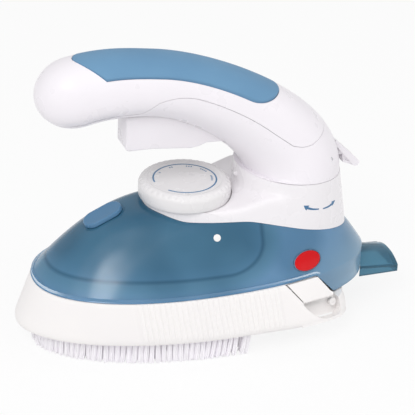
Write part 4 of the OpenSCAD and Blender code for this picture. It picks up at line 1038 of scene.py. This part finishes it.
def upper_region(lift):
    start = beside(0, -0.7)
    along = handle_line(0)[1]
    outline = [(start[0] - 40 * along.x, start[1] - 40 * along.z)]
    outline += [beside(1.6 * i / 64, seam_share(1.6 * i / 64)) for i in range(65)]
    tongue = [(-6.5, 20.2), (-1.5, 19), (4, 19.2), (10, 21.2), (40, 34), (40, 90)]
    outline += from_hub(tongue)
    outline.append((-150, HUB.z + 90))
    return [(x, z + lift) for x, z in outline]


SOFT_START = 0.04
SOFT_END = 1.56


def soft_angle(s):
    front = min(1.0, max(0.0, (s - SOFT_START) / 0.26))
    rear = min(1.0, max(0.0, (SOFT_END - s) / 0.14))
    return math.radians(2 + 60 * min(front**0.75, math.sqrt(1 - (1 - rear) ** 2)))


def soft_skin(name, grow, inner, proud, edge_round, rows=120, columns=36):
    rings = []
    for i in range(rows + 1):
        share = (1 - math.cos(math.pi * i / rows)) / 2
        s = mix(SOFT_START - grow / 200, SOFT_END + grow / 200, share)
        limit = soft_angle(s) + math.radians(grow)
        outer_side, inner_side = [], []
        for j in range(columns + 1):
            place = math.sin(math.pi * (j / columns - 0.5))
            to_edge = (1 - abs(place)) * limit * GRIP_WIDTH / 2
            drop = edge_round * (1 - smooth_step(to_edge / 1.3)) if edge_round else 0.0
            outer_side.append(handle_point(s, limit * place, drop - proud))
            inner_side.append(handle_point(s, limit * place, inner))
        rings.append(outer_side + inner_side[::-1])
    return loft(name, rings)


HANDLE_SEAM = 0.12
HOLLOW_END = 1.84
SLOT_PLAY = 0.8
TRIGGER_PIVOT = (HUB.x - 24, HUB.z + 24.5)
TRIGGER_FRONT = HUB.x - 89
TRIGGER_Z = HUB.z + 20.3
TRIGGER_WIDTH = 14.6
LEVER_WIDTH = 11.0
LEVER_TAIL = (HUB.x + 36.9, HUB.z - 2.5)
LEVER_PIVOT = (HUB.x + 15.5, HUB.z + 8.6)


def trigger_slot():
    low, rear = TRIGGER_Z - 6, TRIGGER_PIVOT[0] - 1
    outline = [(TRIGGER_FRONT - 0.8, GRIP_Z - 4), (TRIGGER_FRONT - 0.8, low), (TRIGGER_FRONT + 49, low),
               (TRIGGER_FRONT + 51, TRIGGER_Z - 1.6), (rear, TRIGGER_Z - 1.6), (rear, GRIP_Z - 8)]
    return across("trigger_slot", outline, TRIGGER_WIDTH + SLOT_PLAY)


def handle_shell(name, lift, operation):
    """The half of the hollow handle on one side of the seam."""
    shell = handle_solid(name, 0, 2, 128, 144)
    combine(shell, across("upper", upper_region(lift), 100), operation)
    return combine(shell, handle_solid("hollow", SHELL_THICK, HOLLOW_END, 64, 64))


def make_handle():
    lower = handle_shell("handle_under", -HANDLE_SEAM, "DIFFERENCE")
    combine(lower, trigger_slot())
    lever_slot = from_hub([(17, 1.9), (41, 1.9), (41, 12.8), (17, 12.8)])
    combine(lower, across("lever_slot", lever_slot, LEVER_WIDTH + SLOT_PLAY))
    dress(lower, "handle", ["handle_lower_shell"], shell_plastic, 40)
    upper = handle_shell("handle_top", HANDLE_SEAM, "INTERSECT")
    combine(upper, soft_skin("recess", 0.9, SOFT_THICK + 0.1, 1.5, 0.0))
    combine(upper, trigger_slot())
    dress(upper, "handle", ["handle_upper_shell"], shell_plastic, 40)
    grip = soft_skin("grip_skin", 0.0, SOFT_THICK, 0.2, 0.8, 160, 48)
    dress(grip, "handle", ["soft_grip"], soft_rubber, 50)


def make_trigger():
    front, low = TRIGGER_FRONT, TRIGGER_Z
    pivot_x, pivot_z = TRIGGER_PIVOT
    blade = [(0, 19), (0, 1), (1.2, 0), (14, -0.1), (34, -2.2), (38, -1.6), (42, -0.2), (52, -0.4)]
    outline = [(front + x, low + z) for x, z in blade]
    outline += [(pivot_x - 2.4, pivot_z - 3.4), (pivot_x - 2.4, pivot_z + 3.2)]
    outline += [(pivot_x - 12, low + 14), (pivot_x - 34, low + 18)]
    trigger = across("trigger_blade", outline, TRIGGER_WIDTH)
    bevel(trigger, 1.4, 4, 25)
    combine(trigger, bar_across("boss", TRIGGER_PIVOT, 4, TRIGGER_WIDTH, 48), "UNION")
    arm = [(pivot_x, pivot_z + 2.6), (pivot_x, pivot_z - 3)]
    arm += from_hub([(-6, 16), (-1, 14.7), (4, 14.7), (4, 18.4)])
    combine(trigger, across("arm", arm, 6), "UNION")
    dress(trigger, "trigger", ["steam_trigger"], shell_plastic, 30)


def make_lever():
    """The finned tab behind the column, and its arm and pad inside."""
    tab = from_hub([(24.6, 11.6), (23.4, 9.8), (25.6, 7.6), (35.4, -3.6), (38.1, -1.0)])
    lever = across("lock_tab", tab, LEVER_WIDTH)
    combine(lever, bar_across("tip", LEVER_TAIL, 1.9, LEVER_WIDTH, 32), "UNION")
    inside = LEVER_WIDTH - 3
    pivot_x, pivot_z = LEVER_PIVOT[0] - HUB.x, LEVER_PIVOT[1] - HUB.z
    plates = [
        ("flange", [(29.6, 0.2), (29.6, -1.4), (35.3, -3.9), (35.3, -2.3)], LEVER_WIDTH - 1),
        ("web", [(24.5, 8.2), (24.5, 3), (29.2, 3), (29.6, -1), (35.9, -2.5)], LEVER_WIDTH - 2),
        ("inner", [(pivot_x, pivot_z - 2), (25.5, 6), (25.5, 10), (pivot_x, pivot_z + 2)], inside),
        ("pad", [(12.6, 5), (pivot_x, pivot_z - 3), (pivot_x, pivot_z + 3), (12.6, 9)], inside),
    ]
    for name, outline, width in plates:
        combine(lever, across(name, from_hub(outline), width), "UNION")
    combine(lever, bar_across("boss", LEVER_PIVOT, 3.2, inside, 40), "UNION")
    bevel(lever, 0.35, 2, 40)
    dress(lever, "lock", ["lock_lever"], shell_plastic, 35)


# Rear hood: an arched clear cover behind the tank, with a bead along each side
HOOD_WIDTH = 26.4
HOOD_TIP_X = 103.8
HOOD_TIP_Z = 24.0
HOOD_EDGE_Z = 20.4
HOOD_LENGTH = 32.5
HOOD_THICK = 1.8
HOOD_FOOT_Z = 16.6
HOOD_SAMPLES = 16
BEAD_RADIUS = 0.65
BEAD_LENGTH = 22.0


def hood_edge(reach):
    return HOOD_EDGE_Z + 0.07 * reach


def hood_ring(reach, inset, foot):
    ridge = HOOD_TIP_Z + 0.2 * reach - 0.0016 * reach * reach
    x, half = HOOD_TIP_X - reach, HOOD_WIDTH / 2 - inset
    ring = []
    for i in range(-HOOD_SAMPLES, HOOD_SAMPLES + 1):
        share = i / HOOD_SAMPLES
        ring.append((x, share * half, mix(ridge, hood_edge(reach), abs(share) ** 2.3) - inset))
    return ring + [(x, half, foot), (x, -half, foot)]


def hood_solid(name, inset, foot):
    return loft(name, [hood_ring(mix(HOOD_LENGTH, inset, k / 24), inset, foot) for k in range(25)])


def make_hood():
    hood = hood_solid("cord_hood", 0, HOOD_FOOT_Z)
    combine(hood, hood_solid("inside", HOOD_THICK, HOOD_FOOT_Z - 1))
    outline = [tank_rim(turn, -0.1) for turn in turns(288)]
    combine(hood, extrusion("tank_side", outline, 0, 60))
    bevel(hood, 0.5, 3, 40)
    mesh = reopened(hood)
    for side in SIDES:
        rings = []
        for i in range(17):
            reach = mix(0.5, BEAD_LENGTH, i / 16)
            y, z = side * (HOOD_WIDTH / 2 - 0.25), hood_edge(reach) - 0.2
            rings.append([(HOOD_TIP_X - reach, y + a, z + b) for a, b in circle(BEAD_RADIUS, 16)])
        add_rings(mesh, rings)
    hood = new_object("cord_hood", mesh)
    dress(hood, "iron_base", ["rear_hood"], clear_hood, 35)


# White dot printed on the tank's left side
DOT_TURN = math.radians(67.6)
DOT_SHARE = 0.77
DOT_RADIUS = 1.85


def make_dot():
    centre = tank_point(DOT_TURN, DOT_SHARE)
    along = tank_point(DOT_TURN + 0.01, DOT_SHARE) - centre
    up = tank_point(DOT_TURN, DOT_SHARE + 0.01) - centre
    out = up.cross(along).normalized()
    if out.y > 0:
        out = -out
    across_dot = along.normalized()
    axes = Matrix((across_dot, out.cross(across_dot), out)).transposed().to_4x4()
    profile = [(DOT_RADIUS, -0.4), (DOT_RADIUS, 0.05), (DOT_RADIUS - 0.1, 0.1), (0.0, 0.1)]
    dot = lathe("level_dot", profile, 48, Matrix.Translation(centre) @ axes, cap_high=False)
    dress(dot, "iron_base", [], white_ink, 50)


make_shroud()
make_latch("left_flap", "latch_left", 1)
make_latch("right_flap", "latch_right", -1)
make_bristles()
make_tank()
make_cap()
make_lamp()
make_dot()
make_housing()
make_arrows()
make_dial()
make_handle()
make_trigger()
make_lever()
make_hood()

# Finish of the CAD nodes that stay
KEPT = [
    (brush_plastic, ["bristle_plate"]),
    (steel, ["brush_screws", "latch_pins", "heating_element", "chamber_screws", "base_screws", "pivot_tube",
             "retaining_ring", "plunger_spring", "dial_spindle", "handle_screws", "trigger_pin", "lever_pin",
             "lock_spring"]),
    (aluminium, ["soleplate", "steam_chamber_cover"]),
    (brass, ["steam_nozzle"]),
    (seal_rubber, ["chamber_gasket", "tank_seal", "cap_seal", "plunger_seal"]),
    (ceramic, ["thermostat", "thermal_fuse", "terminal_block"]),
    (dark_plastic, ["base_frame", "cord_gland"]),
    (white_plastic, ["pump_cylinder", "pump_plunger", "suction_tube"]),
    (clear_blue, ["tank_floor"]),
    (lamp_glass, ["pilot_lamp"]),
]
for kept_look, node_names in KEPT:
    for node_name in node_names:
        finish(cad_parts[node_name], kept_look, 30)


# Studio: a pale floor, a white surround and soft lamps, whose places and sizes are in metres
FLOOR_REACH = 3000.0
FLOOR_Z = -0.05
FLOOR_GLOW = 0.86
SURROUND_LIGHT = 0.62


def make_floor():
    mesh = bmesh.new()
    corners = [(-1, -1), (1, -1), (1, 1), (-1, 1)]
    mesh.faces.new([mesh.verts.new((x * FLOOR_REACH, y * FLOOR_REACH, FLOOR_Z)) for x, y in corners])
    floor = new_object("floor", mesh)
    look = Look("floor")
    tone = look.ramp(look.noise(3.0), [(0.0, (0.86, 0.86, 0.86, 1)), (1.0, (0.88, 0.88, 0.88, 1))])
    look.set(Base_Color=tone, Roughness=0.8)
    path = look.node("ShaderNodeLightPath").outputs
    seen = path["Is Camera Ray"]
    for ray in ("Is Glossy Ray", "Is Transmission Ray"):
        seen = look.node("ShaderNodeMath", {0: seen, 1: path[ray]}, operation="MAXIMUM").outputs[0]
    part = look.node("ShaderNodeMath", {0: seen, 1: FLOOR_GLOW}, operation="MULTIPLY").outputs[0]
    glow = look.node("ShaderNodeEmission").outputs[0]
    both = look.node("ShaderNodeMixShader", {0: part, 1: look.shader.outputs[0], 2: glow})
    look.feed(look.nodes["Material Output"].inputs["Surface"], both.outputs[0])
    floor.data.materials.append(look.material)


def make_world():
    world = bpy.data.worlds.new("studio")
    bpy.context.scene.world = world
    world.use_nodes = True
    nodes, links = world.node_tree.nodes, world.node_tree.links
    surround = nodes["Background"].inputs
    surround["Color"].default_value = (1, 1, 1, 1)
    strength = nodes.new("ShaderNodeMapRange")
    strength.inputs["To Min"].default_value = SURROUND_LIGHT
    links.new(nodes.new("ShaderNodeLightPath").outputs["Is Camera Ray"], strength.inputs["Value"])
    links.new(strength.outputs["Result"], surround["Strength"])


def make_lamp_panel(name, place, aim, size, power):
    data = bpy.data.lights.new(name, "AREA")
    data.shape = "RECTANGLE"
    data.size, data.size_y = size
    data.energy = power
    lamp = bpy.data.objects.new(name, data)
    bpy.context.collection.objects.link(lamp)
    lamp.location = place
    lamp.rotation_euler = (Vector(aim) - Vector(place)).to_track_quat("-Z", "Y").to_euler()
    return lamp


# Camera: where it looks from, and its focal length in pixels of a square picture
VIEW_AZIMUTH = math.radians(-21)
VIEW_ELEVATION = math.radians(27.5)
VIEW_ROLL = math.radians(2.5)
VIEW_TARGET = Vector((-8.5, -17.87, 73.0))
VIEW_DISTANCE = 900.0
PICTURE_PIXELS = 415
FOCAL_PIXELS = 1800


def make_camera():
    data = bpy.data.cameras.new("camera")
    camera = bpy.data.objects.new("camera", data)
    bpy.context.collection.objects.link(camera)
    flat = math.cos(VIEW_ELEVATION)
    back = Vector((math.sin(VIEW_AZIMUTH) * flat, -math.cos(VIEW_AZIMUTH) * flat, math.sin(VIEW_ELEVATION)))
    right = Vector((math.cos(VIEW_AZIMUTH), math.sin(VIEW_AZIMUTH), 0))
    up = back.cross(right)
    tilted_right = right * math.cos(VIEW_ROLL) + up * math.sin(VIEW_ROLL)
    tilted_up = up * math.cos(VIEW_ROLL) - right * math.sin(VIEW_ROLL)
    axes = Matrix((tilted_right, tilted_up, back)).transposed().to_4x4()
    camera.matrix_world = Matrix.Translation((VIEW_TARGET + back * VIEW_DISTANCE) * MM) @ axes
    data.sensor_width = 36.0
    data.lens = data.sensor_width * FOCAL_PIXELS / PICTURE_PIXELS
    data.clip_start = 0.05
    data.clip_end = 20.0
    bpy.context.scene.camera = camera


make_floor()
make_world()
make_lamp_panel("key", (-0.7, -0.7, 1.2), (0, 0, 0.07), (0.9, 0.9), 8.5).visible_glossy = False
make_lamp_panel("window", (-0.48, -0.66, 0.7), (-0.066, -0.03, 0.04), (0.24, 0.1), 0.9)
make_lamp_panel("fill", (0.9, -0.5, 0.7), (0, 0, 0.07), (0.8, 0.8), 3.0).visible_glossy = False
make_camera()
bpy.context.scene.view_settings.view_transform = "Standard"
